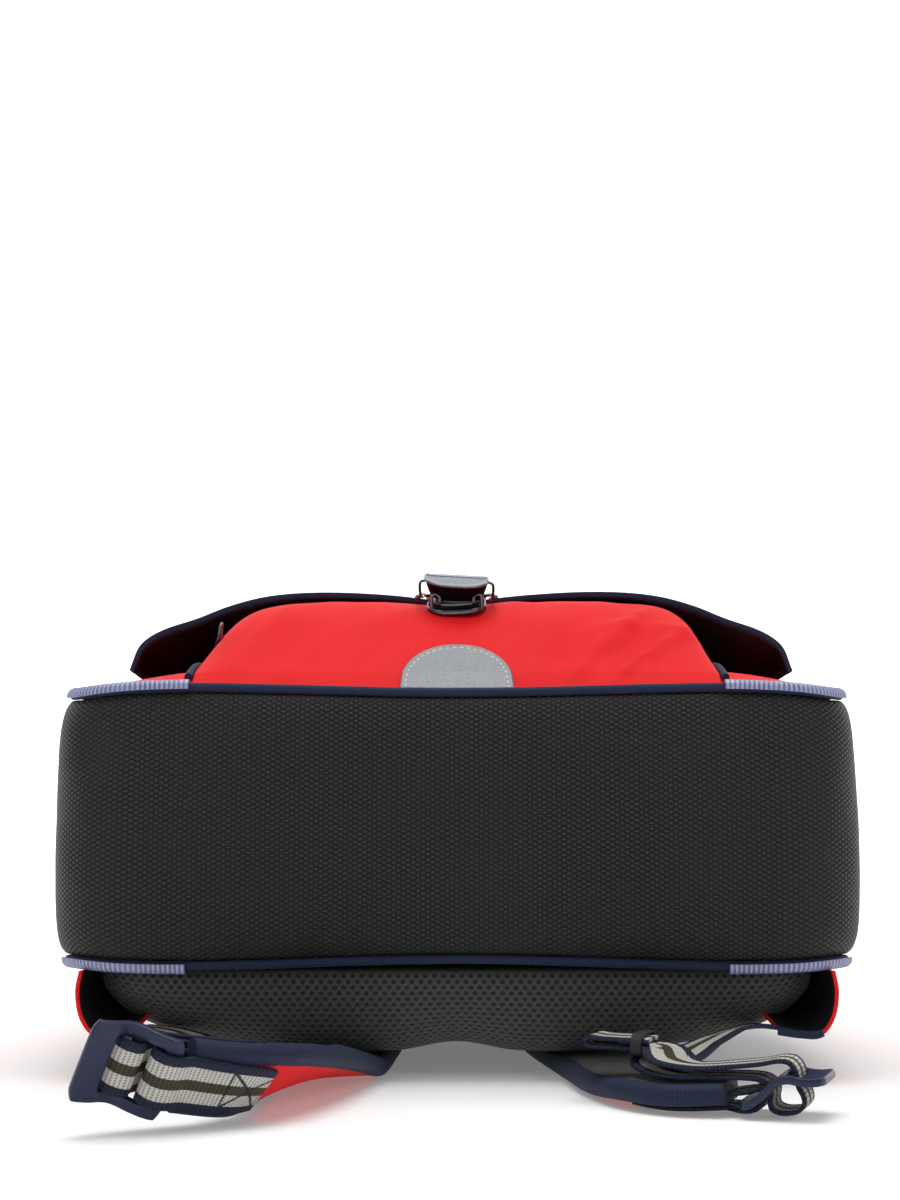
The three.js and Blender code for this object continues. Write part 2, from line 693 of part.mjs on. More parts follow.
// A webbing that runs on the strap's outer face, round the lock's near bar and back to the strap's end.
const SEWN_TURN = [
  { y: -0.1154, z: 0.64 },
  { y: 0, z: 0.76 },
  { y: 0.1103, z: 0.78 },
  { y: 0.2051, z: 0.67 },
  { y: 0.2718, z: 0.37 },
  { y: 0.2795, z: 0.07 },
  { y: 0.241, z: -0.12 },
  { y: 0.1282, z: -0.04 },
  { y: -0.1154, z: 0.05 },
];

const flatWebbing = (c, w, width = WEBBING_WIDTH) => ({ c, w, width, thick: WEBBING_THICKNESS });

// A row in a lock: y is a share of the lock's length and z of the strap's thickness.
const lockStation = ({ y, z }, lock, w) =>
  flatWebbing(vector(0, y * LADDER_LENGTH, z * STRAP_THICKNESS).applyMatrix4(lock), w);

function sewnStations(frames, lock) {
  const out = STRAP_THICKNESS / 2 + WEBBING_THICKNESS / 2 + FIT;
  const end = frames[frames.length - 1];
  const stations = [];
  let run = 0;
  for (let i = frames.length - 1; i > 0 && run <= SEWN_LENGTH; i--) {
    stations.unshift(flatWebbing(frames[i].c.clone().addScaledVector(frames[i].n, -out), frames[i].w));
    run += frames[i].c.distanceTo(frames[i - 1].c);
  }
  const turn = SEWN_TURN.map((row) => lockStation(row, lock, end.w));
  return [...stations, ...turn];
}

// The adjusting webbing in the lock: in by the near slot, round the middle bar and out by the far slot.
const THREAD_TIGHT = [
  { y: -0.2564, z: -0.7 },
  { y: 0.0513, z: -0.64 },
  { y: 0.2308, z: -0.54 },
  { y: 0.3333, z: -0.32 },
  { y: 0.3846, z: -0.06 },
  { y: 0.4513, z: 0.03 },
  { y: 0.5231, z: -0.04 },
  { y: 0.5949, z: -0.2 },
  { y: 0.641, z: -0.5 },
  { y: 0.6513, z: -0.85 },
  { y: 0.6026, z: -1.18 },
  { y: 0.4872, z: -1.3 },
  { y: 0.2564, z: -1.2 },
  { y: -0.0513, z: -1.14 },
];
const THREAD_SLACK = [
  { y: -0.2564, z: -0.7 },
  { y: 0.0513, z: -0.64 },
  { y: 0.2308, z: -0.54 },
  { y: 0.3282, z: -0.3 },
  { y: 0.359, z: 0.05 },
  { y: 0.3385, z: 0.4 },
  { y: 0.3487, z: 0.7 },
  { y: 0.4231, z: 0.88 },
  { y: 0.5385, z: 0.92 },
  { y: 0.6513, z: 0.84 },
  { y: 0.7179, z: 0.56 },
  { y: 0.7128, z: 0.2 },
  { y: 0.6718, z: -0.15 },
  { y: 0.6615, z: -0.5 },
  { y: 0.6462, z: -0.9 },
  { y: 0.5897, z: -1.2 },
  { y: 0.4872, z: -1.3 },
  { y: 0.2564, z: -1.2 },
  { y: -0.0513, z: -1.14 },
];

// The lower webbings from their wings: x as a share of the bag's width, y of its height and z of the pad's
// thickness, then the direction of the width.
const LOWER_LEFT = [
  { x: -0.3878, y: 0.0727, z: 0.6095, wx: 0, wy: 1, wz: 0 },
  { x: -0.3439, y: 0.0545, z: 0.5714, wx: 0.2, wy: 1, wz: 0 },
  { x: -0.2976, y: 0, z: 0.4524, wx: 0.65, wy: 0.75, wz: 0.1 },
  { x: -0.2732, y: -0.0844, z: 0.3714, wx: 0.95, wy: 0.1, wz: 0.2 },
  { x: -0.2634, y: -0.1845, z: 0.4048, wx: 0.9, wy: 0, wz: 0.4 },
];
const LOWER_RIGHT = [
  { x: 0.3878, y: 0.0727, z: 0.6095, wx: 0, wy: 1, wz: 0 },
  { x: 0.3561, y: 0.0424, z: 0.6333, wx: -0.3, wy: 0.9, wz: -0.1 },
  { x: 0.3171, y: -0.0105, z: 0.6048, wx: -0.9, wy: 0.5, wz: -0.3 },
  { x: 0.2805, y: -0.0659, z: 0.5143, wx: -0.9, wy: 0.45, wz: -0.2 },
  { x: 0.2537, y: -0.1213, z: 0.4619, wx: -0.95, wy: 0.3, wz: 0 },
];

// Stations of a webbing beside a strap: how far back from the strap's end in lengths of the lock, how far out
// of its middle on the outer side in strap thicknesses, and how far towards +w in widths of webbing.
const BESIDE_IN_LEFT = [
  { back: 1.5897, out: -0.9, aside: -0.28 },
  { back: 0.9231, out: -0.8, aside: -0.12 },
  { back: 0.4103, out: -0.74, aside: -0.04 },
];
const BESIDE_OUT_LEFT = [
  { back: 0.2564, out: -1.14, aside: 0 },
  { back: 0.6154, out: -1.18, aside: -0.04 },
  { back: 1.0256, out: -1.3, aside: -0.12 },
];
const BESIDE_IN_RIGHT = [
  { back: 1.1282, out: -1.06, aside: 0.04 },
  { back: 0.7179, out: -0.86, aside: 0 },
  { back: 0.359, out: -0.74, aside: 0 },
];
const BESIDE_OUT_RIGHT = [
  { back: 0.2564, out: -1.14, aside: 0 },
  { back: 0.6154, out: -1.32, aside: 0 },
];

// The right tail folds back on itself inside an elastic keeper: run is the way from the keeper in widths of
// webbing, up the layer's height in thicknesses of webbing.
const FOLD = [
  { run: -0.32, up: -0.8333 },
  { run: 0.16, up: -0.8889 },
  { run: 0.72, up: -1 },
  { run: 0.98, up: -0.6667 },
  { run: 1.032, up: 0.2222 },
  { run: 0.96, up: 1.1111 },
  { run: 0.72, up: 0.9444 },
  { run: 0.16, up: 0.8889 },
  { run: -0.16, up: 0.8889 },
];
const KEEPER_LENGTH = 5;
const KEEPER_WALL = 1;
const foldPlace = new THREE.Matrix4()
  .makeBasis(vector(-0.94, 0.34, 0), vector(-0.34, -0.94, 0), vector(0, 0, 1))
  .setPosition(BAG_WIDTH * 0.212, -BAG_HEIGHT * 0.155, PAD_THICKNESS * 0.62);

const worldStation = ({ x, y, z, wx, wy, wz }) =>
  flatWebbing(vector(x * BAG_WIDTH, y * BAG_HEIGHT, z * PAD_THICKNESS), vector(wx, wy, wz));
const foldStation = ({ run, up }) => {
  const at = vector(run * WEBBING_WIDTH, 0, up * WEBBING_THICKNESS);
  return flatWebbing(at.applyMatrix4(foldPlace), vector(0.34, 0.94, 0));
};

function besideStation(frames, { back, out, aside }) {
  let run = 0;
  let i = frames.length - 1;
  while (i > 0 && run < back * LADDER_LENGTH) {
    run += frames[i].c.distanceTo(frames[i - 1].c);
    i -= 1;
  }
  const { c, n, w } = frames[i];
  const at = c.clone().addScaledVector(n, -out * STRAP_THICKNESS).addScaledVector(w, aside * WEBBING_WIDTH);
  return flatWebbing(at, w);
}

const SIDES = [
  {
    name: "left",
    side: -1,
    strap: STRAP_LEFT,
    thread: THREAD_TIGHT,
    lower: LOWER_LEFT,
    inward: BESIDE_IN_LEFT,
    outward: BESIDE_OUT_LEFT,
    fold: [],
  },
  {
    name: "right",
    side: 1,
    strap: STRAP_RIGHT,
    thread: THREAD_SLACK,
    lower: LOWER_RIGHT,
    inward: BESIDE_IN_RIGHT,
    outward: BESIDE_OUT_RIGHT,
    fold: FOLD,
  },
];

for (const { name, side, strap, thread, lower, inward, outward, fold } of SIDES) {
  const made = ribbon(strapStations(strap, side), 34, true);
  add(`strap_${name}`, made.geometry, FINISH.red);
  const end = made.frames[made.frames.length - 1];
  const lock = lockFrame(end);
  add(`ladder_lock_${name}`, ladderLock().applyMatrix4(lock), FINISH.plastic);
  add(`sewn_webbing_${name}`, ribbon(sewnStations(made.frames, lock), 26).geometry, FINISH.webbing);
  const whole = [
    ...lower.map(worldStation),
    ...inward.map((row) => besideStation(made.frames, row)),
    ...thread.map((row) => lockStation(row, lock, end.w)),
    ...outward.map((row) => besideStation(made.frames, row)),
    ...fold.map(foldStation),
  ];
  add(`lower_webbing_${name}`, ribbon(whole, 76).geometry, FINISH.webbing);
}

const KEEPER_OPEN_WIDTH = WEBBING_WIDTH + 3;
const KEEPER_OPEN_HEIGHT = 7.6;
const keeperInner = boxAt(KEEPER_LENGTH + 2, KEEPER_OPEN_WIDTH, KEEPER_OPEN_HEIGHT, 1, 0, 0);
const keeperHeight = KEEPER_OPEN_HEIGHT + 2 * KEEPER_WALL;
const keeperOuter = boxAt(KEEPER_LENGTH, KEEPER_OPEN_WIDTH + 2 * KEEPER_WALL, keeperHeight, 1, 0, 0);
const keeper = geometryOf(solidOf(keeperOuter).subtract(solidOf(keeperInner)));
add("webbing_keeper", keeper.applyMatrix4(foldPlace), FINISH.black);

// The wings that hold the lower webbings: a curled sheet under each bottom corner.
const WING_PROFILE = [
  { x: -0.4634, z: 0 },
  { x: -0.4671, z: 0.36 },
  { x: -0.461, z: 0.76 },
  { x: -0.4463, z: 1 },
  { x: -0.422, z: 1.02 },
  { x: -0.3951, z: 0.97 },
];
const WING_DROP = 29;
const WING_WALL = 2;
const wingTop = Z_BACK - GUARD_INNER - GUARD_WALL - FIT;

for (const [name, side] of [["left", 1], ["right", -1]]) {
  const curve = new THREE.CatmullRomCurve3(WING_PROFILE.map((row) =>
    vector(side * row.x * BAG_WIDTH, 0, wingTop - WING_DROP * row.z)));
  const wing = grid((u, v) => {
    const at = curve.getPoint(u);
    const top = BAG_HEIGHT * lerp(0.224, 0.118, u);
    return vector(at.x, lerp(PAD_BASE_INSET - 1.5, top, v), at.z);
  }, 10, 3);
  add(`anchor_wing_${name}`, sheet(wing, side * WING_WALL), FINISH.red);
}

// The flap: rows from the back's top edge over the mouth and down the front. Each row gives its middle
// and its side edge: down is the share of the way to the front edge, rise the share of the flap's rise.
const FLAP_ROWS = [
  { downMid: -0.0153, depthMid: -0.004, downSide: -0.0153, depthSide: -0.004, riseMid: 0, riseSide: 0 },
  { downMid: -0.022, depthMid: 0.06, downSide: -0.021, depthSide: 0.06, riseMid: 0, riseSide: 0 },
  { downMid: -0.044, depthMid: 0.4, downSide: -0.036, depthSide: 0.4, riseMid: 0, riseSide: 0 },
  { downMid: -0.046, depthMid: 0.84, downSide: -0.036, depthSide: 0.82, riseMid: 0, riseSide: 0 },
  { downMid: -0.036, depthMid: 1, downSide: -0.028, depthSide: 1, riseMid: 0.16, riseSide: 0.02 },
  { downMid: 0.02, depthMid: 1, downSide: 0.01, depthSide: 1, riseMid: 0.5, riseSide: 0.16 },
  { downMid: 0.14, depthMid: 1, downSide: 0.12, depthSide: 1, riseMid: 0.78, riseSide: 0.22 },
  { downMid: 0.34, depthMid: 1, downSide: 0.31, depthSide: 1, riseMid: 0.97, riseSide: 0.26 },
  { downMid: 0.58, depthMid: 1, downSide: 0.49, depthSide: 1, riseMid: 1, riseSide: 0.28 },
  { downMid: 0.8, depthMid: 1, downSide: 0.66, depthSide: 1, riseMid: 1, riseSide: 0.3 },
  { downMid: 1, depthMid: 1, downSide: 0.81, depthSide: 1, riseMid: 0.985, riseSide: 0.32 },
];
const FLAP_RUN = BAG_HEIGHT - FLAP_EDGE;
const flapLine = (mid) => new THREE.CatmullRomCurve3(FLAP_ROWS.map((row) => vector(
  0,
  BAG_HEIGHT - FLAP_RUN * (mid ? row.downMid : row.downSide),
  Z_BACK + BODY_DEPTH * (mid ? row.depthMid : row.depthSide) + FLAP_RISE * (mid ? row.riseMid : row.riseSide),
)), false, "centripetal");
const FLAP_MIDDLE = flapLine(true);
const FLAP_SIDE = flapLine(false);

function flapPoint(u, v) {
  const across = crowded(u);
  const arch = (1 - Math.abs(across) ** 4) ** 0.6;
  const at = FLAP_SIDE.getPoint(v).lerp(FLAP_MIDDLE.getPoint(v), arch);
  return vector((across * FLAP_WIDTH) / 2, at.y, at.z);
}

add("flap", sheet(grid(flapPoint, 18, 16), -FLAP_WALL), FINISH.navy);

// The handle stands on the top of the flap, over the mouth.
const HANDLE_Z = MIDDLE_Z;

function topOfFlap(z) {
  let best = 0;
  let gap = Infinity;
  for (let i = 0; i <= 200; i++) {
    const at = FLAP_MIDDLE.getPoint((i / 200) * 0.3);
    if (Math.abs(at.z - z) < gap) {
      gap = Math.abs(at.z - z);
      best = at.y;
    }
  }
  return best;
}

const HANDLE_FOOT = topOfFlap(HANDLE_Z) + FIT + 0.1;
const anchorTop = HANDLE_FOOT + ANCHOR_PLATE;
for (const [name, side] of [["left", -1], ["right", 1]]) {
  const plate = new THREE.CylinderGeometry(11, 11, ANCHOR_PLATE, 16);
  plate.translate((side * HANDLE_SPAN) / 2, HANDLE_FOOT + ANCHOR_PLATE / 2, HANDLE_Z);
  add(`handle_anchor_${name}`, plate, FINISH.navy);
}
const handleLine = [
  { across: -1, up: 0 },
  { across: -1, up: 0.3 },
  { across: -0.93, up: 0.62 },
  { across: -0.74, up: 0.87 },
  { across: -0.36, up: 0.99 },
  { across: 0, up: 1 },
  { across: 0.36, up: 0.99 },
  { across: 0.74, up: 0.87 },
  { across: 0.93, up: 0.62 },
  { across: 1, up: 0.3 },
  { across: 1, up: 0 },
].map((row) => vector((row.across * HANDLE_SPAN) / 2, anchorTop + FIT + row.up * HANDLE_RISE, HANDLE_Z));
add("handle", tube(handleLine, HANDLE_RADIUS, 5, 16), FINISH.navy);

const zipHalf = [ZIP_FROM, -18, -15, -11, -6, 2, 12, 22, 30, 34, 37, 40, 43, 46, 50, 58, 72];
const zipAt = [...zipHalf, 90, ...zipHalf.map((degrees) => 180 - degrees).reverse()].map(zipPoint).reverse();
const zipStations = zipAt.map(({ x, y }, i) => {
  const before = zipAt[Math.max(i - 1, 0)];
  const after = zipAt[Math.min(i + 1, zipAt.length - 1)];
  const heading = vector(after.x - before.x, after.y - before.y, 0);
  const w = pocketNormal(x, y).cross(heading).normalize();
  return { c: overPocket(x, y, FIT + ZIP_WALL / 2 + 0.3), w, width: ZIP_WIDTH, thick: ZIP_WALL };
});
add("pocket_zip", loft(stationFrames(zipStations).map((frame) => ribbonRing(frame, false))), FINISH.navy);
const pull = new THREE.TorusGeometry(3.6, 0.7, 5, 12).rotateY(Math.PI / 2).rotateZ(0.2);
const pullAt = overPocket(zipAt[0].x, zipAt[0].y, FIT + ZIP_WALL + 3).add(vector(0, -2.6, 0));
add("zip_pull", tidy(pull).translate(pullAt.x, pullAt.y, pullAt.z), FINISH.metal);

// The lock. Local y runs up the pocket's slope to the flap, z stands off the pocket.
const lockBase = pocketPoint(0, LOCK_Y);
const tilt = THREE.MathUtils.degToRad(LOCK_TILT);
const lockPlace = new THREE.Matrix4().makeRotationX(tilt).setPosition(0, LOCK_Y, lockBase.z + 0.2);

// A D-shaped outline: a round front towards -y and a straight back.
function dShape(width, depth, flat) {
  const half = width / 2;
  const shape = new THREE.Shape();
  shape.moveTo(half, flat);
  shape.lineTo(-half, flat);
  shape.lineTo(-half, flat - depth * 0.35);
  shape.quadraticCurveTo(-half, flat - depth, 0, flat - depth);
  shape.quadraticCurveTo(half, flat - depth, half, flat - depth * 0.35);
  shape.lineTo(half, flat);
  return shape;
}

const extruded = (shape, from, to, segments = 8) => new THREE.ExtrudeGeometry(shape, {
  depth: to - from,
  bevelEnabled: false,
  curveSegments: segments,
}).translate(0, 0, from);

const PLATE_BACK = LOCK_PLATE_DEPTH / 2;
const RIM_HEIGHT = 1.4;
const RIM_WALL = 1.3;
const HOOK_X = 13.4;
const HOOK_Y = -4.6;
const HOOK_TOP = 10.5;
const BOX_BACK = 9;
const BOX_DEPTH = 13.5;

function hook(side) {
  const line = [
    vector(side * HOOK_X, HOOK_Y, LOCK_PLATE_WALL - 0.6),
    vector(side * HOOK_X, HOOK_Y, HOOK_TOP * 0.6),
    vector(side * (HOOK_X - 0.5), HOOK_Y, HOOK_TOP * 0.9),
    vector(side * (HOOK_X - 2.2), HOOK_Y, HOOK_TOP),
    vector(side * (HOOK_X - 4), HOOK_Y, HOOK_TOP * 0.86),
    vector(side * (HOOK_X - 4.4), HOOK_Y, HOOK_TOP * 0.6),
  ];
  return tube(line, HOOK_RADIUS, 3, 10);
}

function lockBaseBody() {
  const plate = solidOf(extruded(dShape(LOCK_PLATE_WIDTH, LOCK_PLATE_DEPTH, PLATE_BACK), 0, LOCK_PLATE_WALL + RIM_HEIGHT));
  const dish = dShape(LOCK_PLATE_WIDTH - 2 * RIM_WALL, LOCK_PLATE_DEPTH - 2 * RIM_WALL, PLATE_BACK - RIM_WALL);
  const hollow = solidOf(extruded(dish, LOCK_PLATE_WALL, LOCK_PLATE_WALL + RIM_HEIGHT + 1));
  const box = solidOf(extruded(dShape(LOCK_BOX_WIDTH, BOX_DEPTH, BOX_BACK), LOCK_PLATE_WALL - 0.5, LOCK_PLATE_WALL + LOCK_BOX_HEIGHT));
  return geometryOf(plate.subtract(hollow).add(box).add(solidOf(hook(-1))).add(solidOf(hook(1))));
}

add("lock_base", lockBaseBody().applyMatrix4(lockPlace), FINISH.metal);

// The lever: a curved D-shaped cover over a black tapered body, with a wire loop at each side.
const LEVER_BACK = 13;
const LEVER_DEPTH = 24;
const CORE_BOTTOM = LOCK_PLATE_WALL + LOCK_BOX_HEIGHT + 0.7;
const CORE_TOP = LEVER_HEIGHT;
const PIVOT_Y = 17;
const PIVOT_Z = 3;
const PIVOT_HALF = 21;

function leverCore() {
  const rows = 4;
  const around = 18;
  const rings = Array.from({ length: rows + 1 }, (_, i) => {
    const share = i / rows;
    const halfX = lerp(8.4, LEVER_WIDTH / 2 - 1.4, share ** 0.8);
    const front = lerp(-3.4, -5, share);
    const back = lerp(8, 11.4, share);
    return Array.from({ length: around }, (_, k) => {
      const turn = (k / around) * Math.PI * 2;
      const round = (v) => Math.sign(v) * Math.abs(v) ** 0.7;
      const y = lerp(front, back, 0.5 + 0.5 * round(Math.sin(turn)));
      return vector(halfX * round(Math.cos(turn)), y, lerp(CORE_BOTTOM, CORE_TOP - FIT, share));
    });
  });
  return loft(rings);
}

function leverWire(side) {
  const x = side * (LEVER_WIDTH / 2 - 0.2);
  const line = [
    vector(x, 2, CORE_TOP + 0.2),
    vector(x + side * 1.9, 2, CORE_TOP - 0.6),
    vector(x + side * 2.4, 3, CORE_TOP - 4),
    vector(x + side * 2, 7, CORE_TOP - 9),
    vector(x + side * 1.2, 12, PIVOT_Z + 1),
    vector(x + side * 0.9, PIVOT_Y, PIVOT_Z),
  ];
  return tube(line, WIRE_RADIUS, 3, 12);
}

function leverCover() {
  const plate = solidOf(extruded(dShape(LEVER_WIDTH, LEVER_DEPTH, LEVER_BACK), CORE_TOP, CORE_TOP + LEVER_WALL, 10));
  const inlay = dShape(LEVER_WIDTH - 4, LEVER_DEPTH - 4, LEVER_BACK - 2);
  const dent = solidOf(extruded(inlay, CORE_TOP + LEVER_WALL - 0.5, CORE_TOP + LEVER_WALL + 1, 10));
  const wires = solidOf(leverWire(-1)).add(solidOf(leverWire(1)));
  return geometryOf(plate.subtract(dent).add(wires));
}

add("lock_lever_cover", leverCover().applyMatrix4(lockPlace), FINISH.metal);
add("lock_lever_core", leverCore().applyMatrix4(lockPlace), FINISH.black);

// The hinge that carries the lever on the flap's edge: a plate on the flap with two round knuckles.
const knuckleX = PIVOT_HALF;
const HINGE_WALL = 1.6;

function hingeBody() {
  const place = vector(0, PIVOT_Y, PIVOT_Z).applyMatrix4(lockPlace);
  const edge = flapPoint(0.5, 1);
  const plateFrom = edge.y + 2;
  const top = Math.max(edge.z, flapPoint(0.5, 0.93).z) + FIT + 0.4;
  const plate = solidOf(boxAt(34, 20, HINGE_WALL, 0, plateFrom + 10, top + HINGE_WALL / 2));
  let body = plate;
  for (const side of [-1, 1]) {
    const knuckle = new THREE.SphereGeometry(PIVOT_RADIUS, 10, 6);
    knuckle.translate(side * knuckleX, place.y, place.z);
    const arm = tube([
      vector(side * knuckleX, place.y, place.z),
      vector(side * (knuckleX - 1), lerp(place.y, plateFrom, 0.5), lerp(place.z, top + HINGE_WALL / 2, 0.7)),
      vector(side * 15.5, plateFrom + 3, top + HINGE_WALL / 2),
    ], 1.1, 3, 8);
    body = body.add(solidOf(knuckle)).add(solidOf(arm));
  }
  return geometryOf(body);
}

add("lock_hinge", hingeBody(), FINISH.metal);

// Centre the whole bag over the ground.
const box = new THREE.Box3().setFromObject(bag);
const centre = box.getCenter(vector(0, 0, 0));
bag.position.set(-centre.x, -centre.y, -box.min.z);
bag.updateMatrixWorld(true);

export default bag;
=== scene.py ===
# %% [markdown]
# # A school satchel lying on its back
#
# The satchel is a boxy cloth bag: a black grained strip wraps its base, red panels close its front and
# sides, a flap folds over the mouth, and two padded straps run out from under it. This lesson dresses the
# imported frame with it. The frame holds the hard shapes and the places of all pieces; the scene makes the
# cloth, the webbing, the plastic and the metal that a camera sees.

import bmesh
import bpy
import numpy as np
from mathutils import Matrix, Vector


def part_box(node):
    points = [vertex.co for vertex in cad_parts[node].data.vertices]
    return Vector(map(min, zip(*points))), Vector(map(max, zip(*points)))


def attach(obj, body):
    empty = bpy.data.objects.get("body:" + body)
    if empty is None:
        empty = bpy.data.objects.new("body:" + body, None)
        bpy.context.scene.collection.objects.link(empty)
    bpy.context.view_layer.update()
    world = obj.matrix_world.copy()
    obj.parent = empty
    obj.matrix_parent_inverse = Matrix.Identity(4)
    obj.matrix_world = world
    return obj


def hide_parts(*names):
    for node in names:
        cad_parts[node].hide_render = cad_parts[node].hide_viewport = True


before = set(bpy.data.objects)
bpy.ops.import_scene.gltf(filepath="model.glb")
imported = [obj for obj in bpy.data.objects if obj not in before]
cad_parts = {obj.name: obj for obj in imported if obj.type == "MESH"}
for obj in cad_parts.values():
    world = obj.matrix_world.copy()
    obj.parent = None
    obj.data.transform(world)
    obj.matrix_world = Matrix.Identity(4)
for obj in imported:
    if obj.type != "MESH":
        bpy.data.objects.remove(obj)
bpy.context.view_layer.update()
print("frame pieces:", len(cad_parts))

# %% [markdown]
# ## Sizes
#
# All shapes below are worked out in millimetres, in the place where the bag is drawn: the middle of its
# base is at X 0, Y 0 and the ground at Z 0. The frame's own boxes say how far the drawing is shifted.

# %% Named sizes in millimetres
BAG_WIDTH, BAG_HEIGHT, BODY_DEPTH = 410.0, 330.0, 139.0
CORNER, BULGE, SIDE_SWELL, SIDE_DROP, BASE_WRAP = 40.0, 7.0, 8.0, 12.0, 52.0
WALL, CROWN, CROWN_RUN = 2.5, 14.0, 70.0
PIPING, FIT = 2.4, 0.3
GUARD_WALL, GUARD_REACH = 1.3, 24.0
PAD_THICKNESS, PAD_INSET, PAD_BASE, PAD_TOP_INSET = 42.0, 18.0, 10.5, 30.0
PAD_RIM, PAD_ROUND, SPINE_DEPTH, SPINE_WIDTH = 4.0, 40.0, 5.0, 22.0
STRAP_THICKNESS, STRAP_WIDTH = 10.0, 60.0
WEBBING_WIDTH, WEBBING_THICKNESS, SEWN_LENGTH = 25.0, 1.8, 46.0
POCKET_WIDTH, POCKET_HEIGHT, POCKET_DEPTH, POCKET_RIM, POCKET_WALL = 266.0, 204.0, 34.5, 3.0, 2.0
SLOPE_RUN, TOP_ROUND, POCKET_CORNER, POCKET_PIPING = 88.0, 35.0, 34.0, 2.0
PATCH_WIDTH, PATCH_HEIGHT, PATCH_WALL = 57.0, 33.0, 1.0
ZIP_WIDTH, ZIP_WALL, ZIP_LEVEL = 7.0, 1.2, 0.42
FLAP_WIDTH, FLAP_EDGE, FLAP_RISE, FLAP_WALL = 386.0, 108.0, 56.0, 3.0
HANDLE_SPAN, HANDLE_RISE, HANDLE_RADIUS = 104.0, 27.0, 6.5
LOCK_Y, LOCK_TILT = 74.0, 20.0
LADDER_LENGTH, LADDER_WALL = 39.0, 3.6
LOCK_GAP = 6.0
SIDES = ((-1, "left"), (1, "right"))

SEAM_HALF = BAG_WIDTH / 2 - BULGE
SEAM_FLAT = SEAM_HALF - CORNER
SEAM_ARC = np.pi / 2 * CORNER
SEAM_LENGTH = SEAM_FLAT + SEAM_ARC + BAG_HEIGHT - BULGE - CORNER
PAD_TOP_Z = STRAP_THICKNESS + 3 + PAD_THICKNESS
Z_BACK = PAD_TOP_Z + FIT + WALL / 2
Z_FRONT = Z_BACK + BODY_DEPTH
MIDDLE_Z = Z_BACK + BODY_DEPTH / 2
PANEL_INSET = PIPING + FIT + 0.2
PANEL_BASE = BULGE + PANEL_INSET
POCKET_BASE = PANEL_BASE + 1
POCKET_END = POCKET_BASE + POCKET_HEIGHT
SHIFT = np.array([
    0.0,
    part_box("base_gusset")[0].y * 1000,
    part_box("back_panel")[0].z * 1000 - (Z_BACK - WALL / 2),
])
print("the drawing is shifted by", SHIFT.round(3), "mm")

# %% [markdown]
# ## Surfaces on grids
#
# A cloth piece is a sheet, and a sheet is a grid of points. One helper turns any grid into a mesh with a
# UV map in metres, so that a weave keeps its scale on every piece; the grid may be joined round its ring
# and capped at its ends. A wall is then given by the Solidify modifier.

# %% Mesh helpers
def place(points):
    """Millimetres of the drawing to metres of the frame: add the shift and divide by a thousand."""
    return (np.asarray(points, float) + SHIFT) / 1000


def drawn_box(node):
    """Lowest and highest corner of a frame node's box, in millimetres of the drawing."""
    return [np.array(corner) * 1000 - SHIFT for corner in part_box(node)]


def settled(points):
    """Points moved as the filled bag has settled: near the base the front seam sags and the back seam is
    drawn up, each as a bell about the middle and a square law from the guards to the corners."""
    x, y, z = np.moveaxis(np.array(points, float), -1, 0)
    near = np.exp(-(np.maximum(y - BULGE, 0) / 45) ** 2) * (y > -60)
    middle = np.exp(-(x / 100) ** 2)
    corner = np.clip((np.abs(x) - 125) / 75, 0, 1) ** 2
    front = np.clip((z - MIDDLE_Z) / (BODY_DEPTH / 2), 0, 1)
    back = np.clip((MIDDLE_Z - z) / (BODY_DEPTH / 2), 0, 1) * np.clip((z - 16) / 30, 0, 1)
    rise = near * (back * (4.2 * middle + 3.5 * corner) - front * (3.2 * middle + 5.0 * corner))
    return np.stack([x, y, z + rise], -1)


def smooth_object(name, points, faces, loop_uv=None, slots=None, sharp=40):
    """One mesh object at the origin from points in millimetres and a list of face tuples."""
    mesh = bpy.data.meshes.new(name)
    mesh.from_pydata(place(settled(points)).tolist(), [], faces)
    if loop_uv is not None:
        layer = mesh.uv_layers.new(name="UVMap")
        layer.data.foreach_set("uv", np.asarray(loop_uv, np.float32).ravel() / 1000)
    if slots is not None:
        mesh.polygons.foreach_set("material_index", np.asarray(slots, np.int32))
    mesh.polygons.foreach_set("use_smooth", np.ones(len(mesh.polygons), bool))
    mesh.set_sharp_from_angle(angle=np.radians(sharp))
    mesh.update()
    piece = bpy.data.objects.new(name, mesh)
    bpy.context.scene.collection.objects.link(piece)
    return piece


def grid_piece(name, points, uv, ring=False, caps=False, slots=None, sharp=40):
    """A grid of rows and columns as quads. With ring=True the last column meets the first, and uv has one
    column more than points; caps close the first and the last row."""
    rows, columns = points.shape[:2]
    spans = columns if ring else columns - 1
    i, j = np.meshgrid(np.arange(rows - 1), np.arange(spans), indexing="ij")
    corners = [(i, j), (i, j + 1), (i + 1, j + 1), (i + 1, j)]
    faces = np.stack([a * columns + b % columns for a, b in corners], -1).reshape(-1, 4)
    loops = np.stack([uv[a, b] for a, b in corners], 2).reshape(-1, 2)
    all_faces = faces.tolist()
    face_slots = None if slots is None else np.tile(slots, rows - 1)
    if caps:
        last = (rows - 1) * columns
        cap_slot = 0 if slots is None else max(slots)
        all_faces += [list(range(columns - 1, -1, -1)), list(range(last, last + columns))]
        loops = np.concatenate([loops, uv[0, columns - 1::-1][:columns], uv[-1, :columns]])
        if face_slots is not None:
            face_slots = np.concatenate([face_slots, [cap_slot, cap_slot]])
    return smooth_object(name, points.reshape(-1, 3), all_faces, loops, face_slots, sharp)


def joined_faces(rows, columns):
    """Quads of a grid joined round both ways, and the row and column of each quad's four corners."""
    i, j = np.meshgrid(np.arange(rows), np.arange(columns), indexing="ij")
    corners = [(i, j), (i, j + 1), (i + 1, j + 1), (i + 1, j)]
    faces = np.stack([(a % rows) * columns + b % columns for a, b in corners], -1).reshape(-1, 4)
    return faces, corners


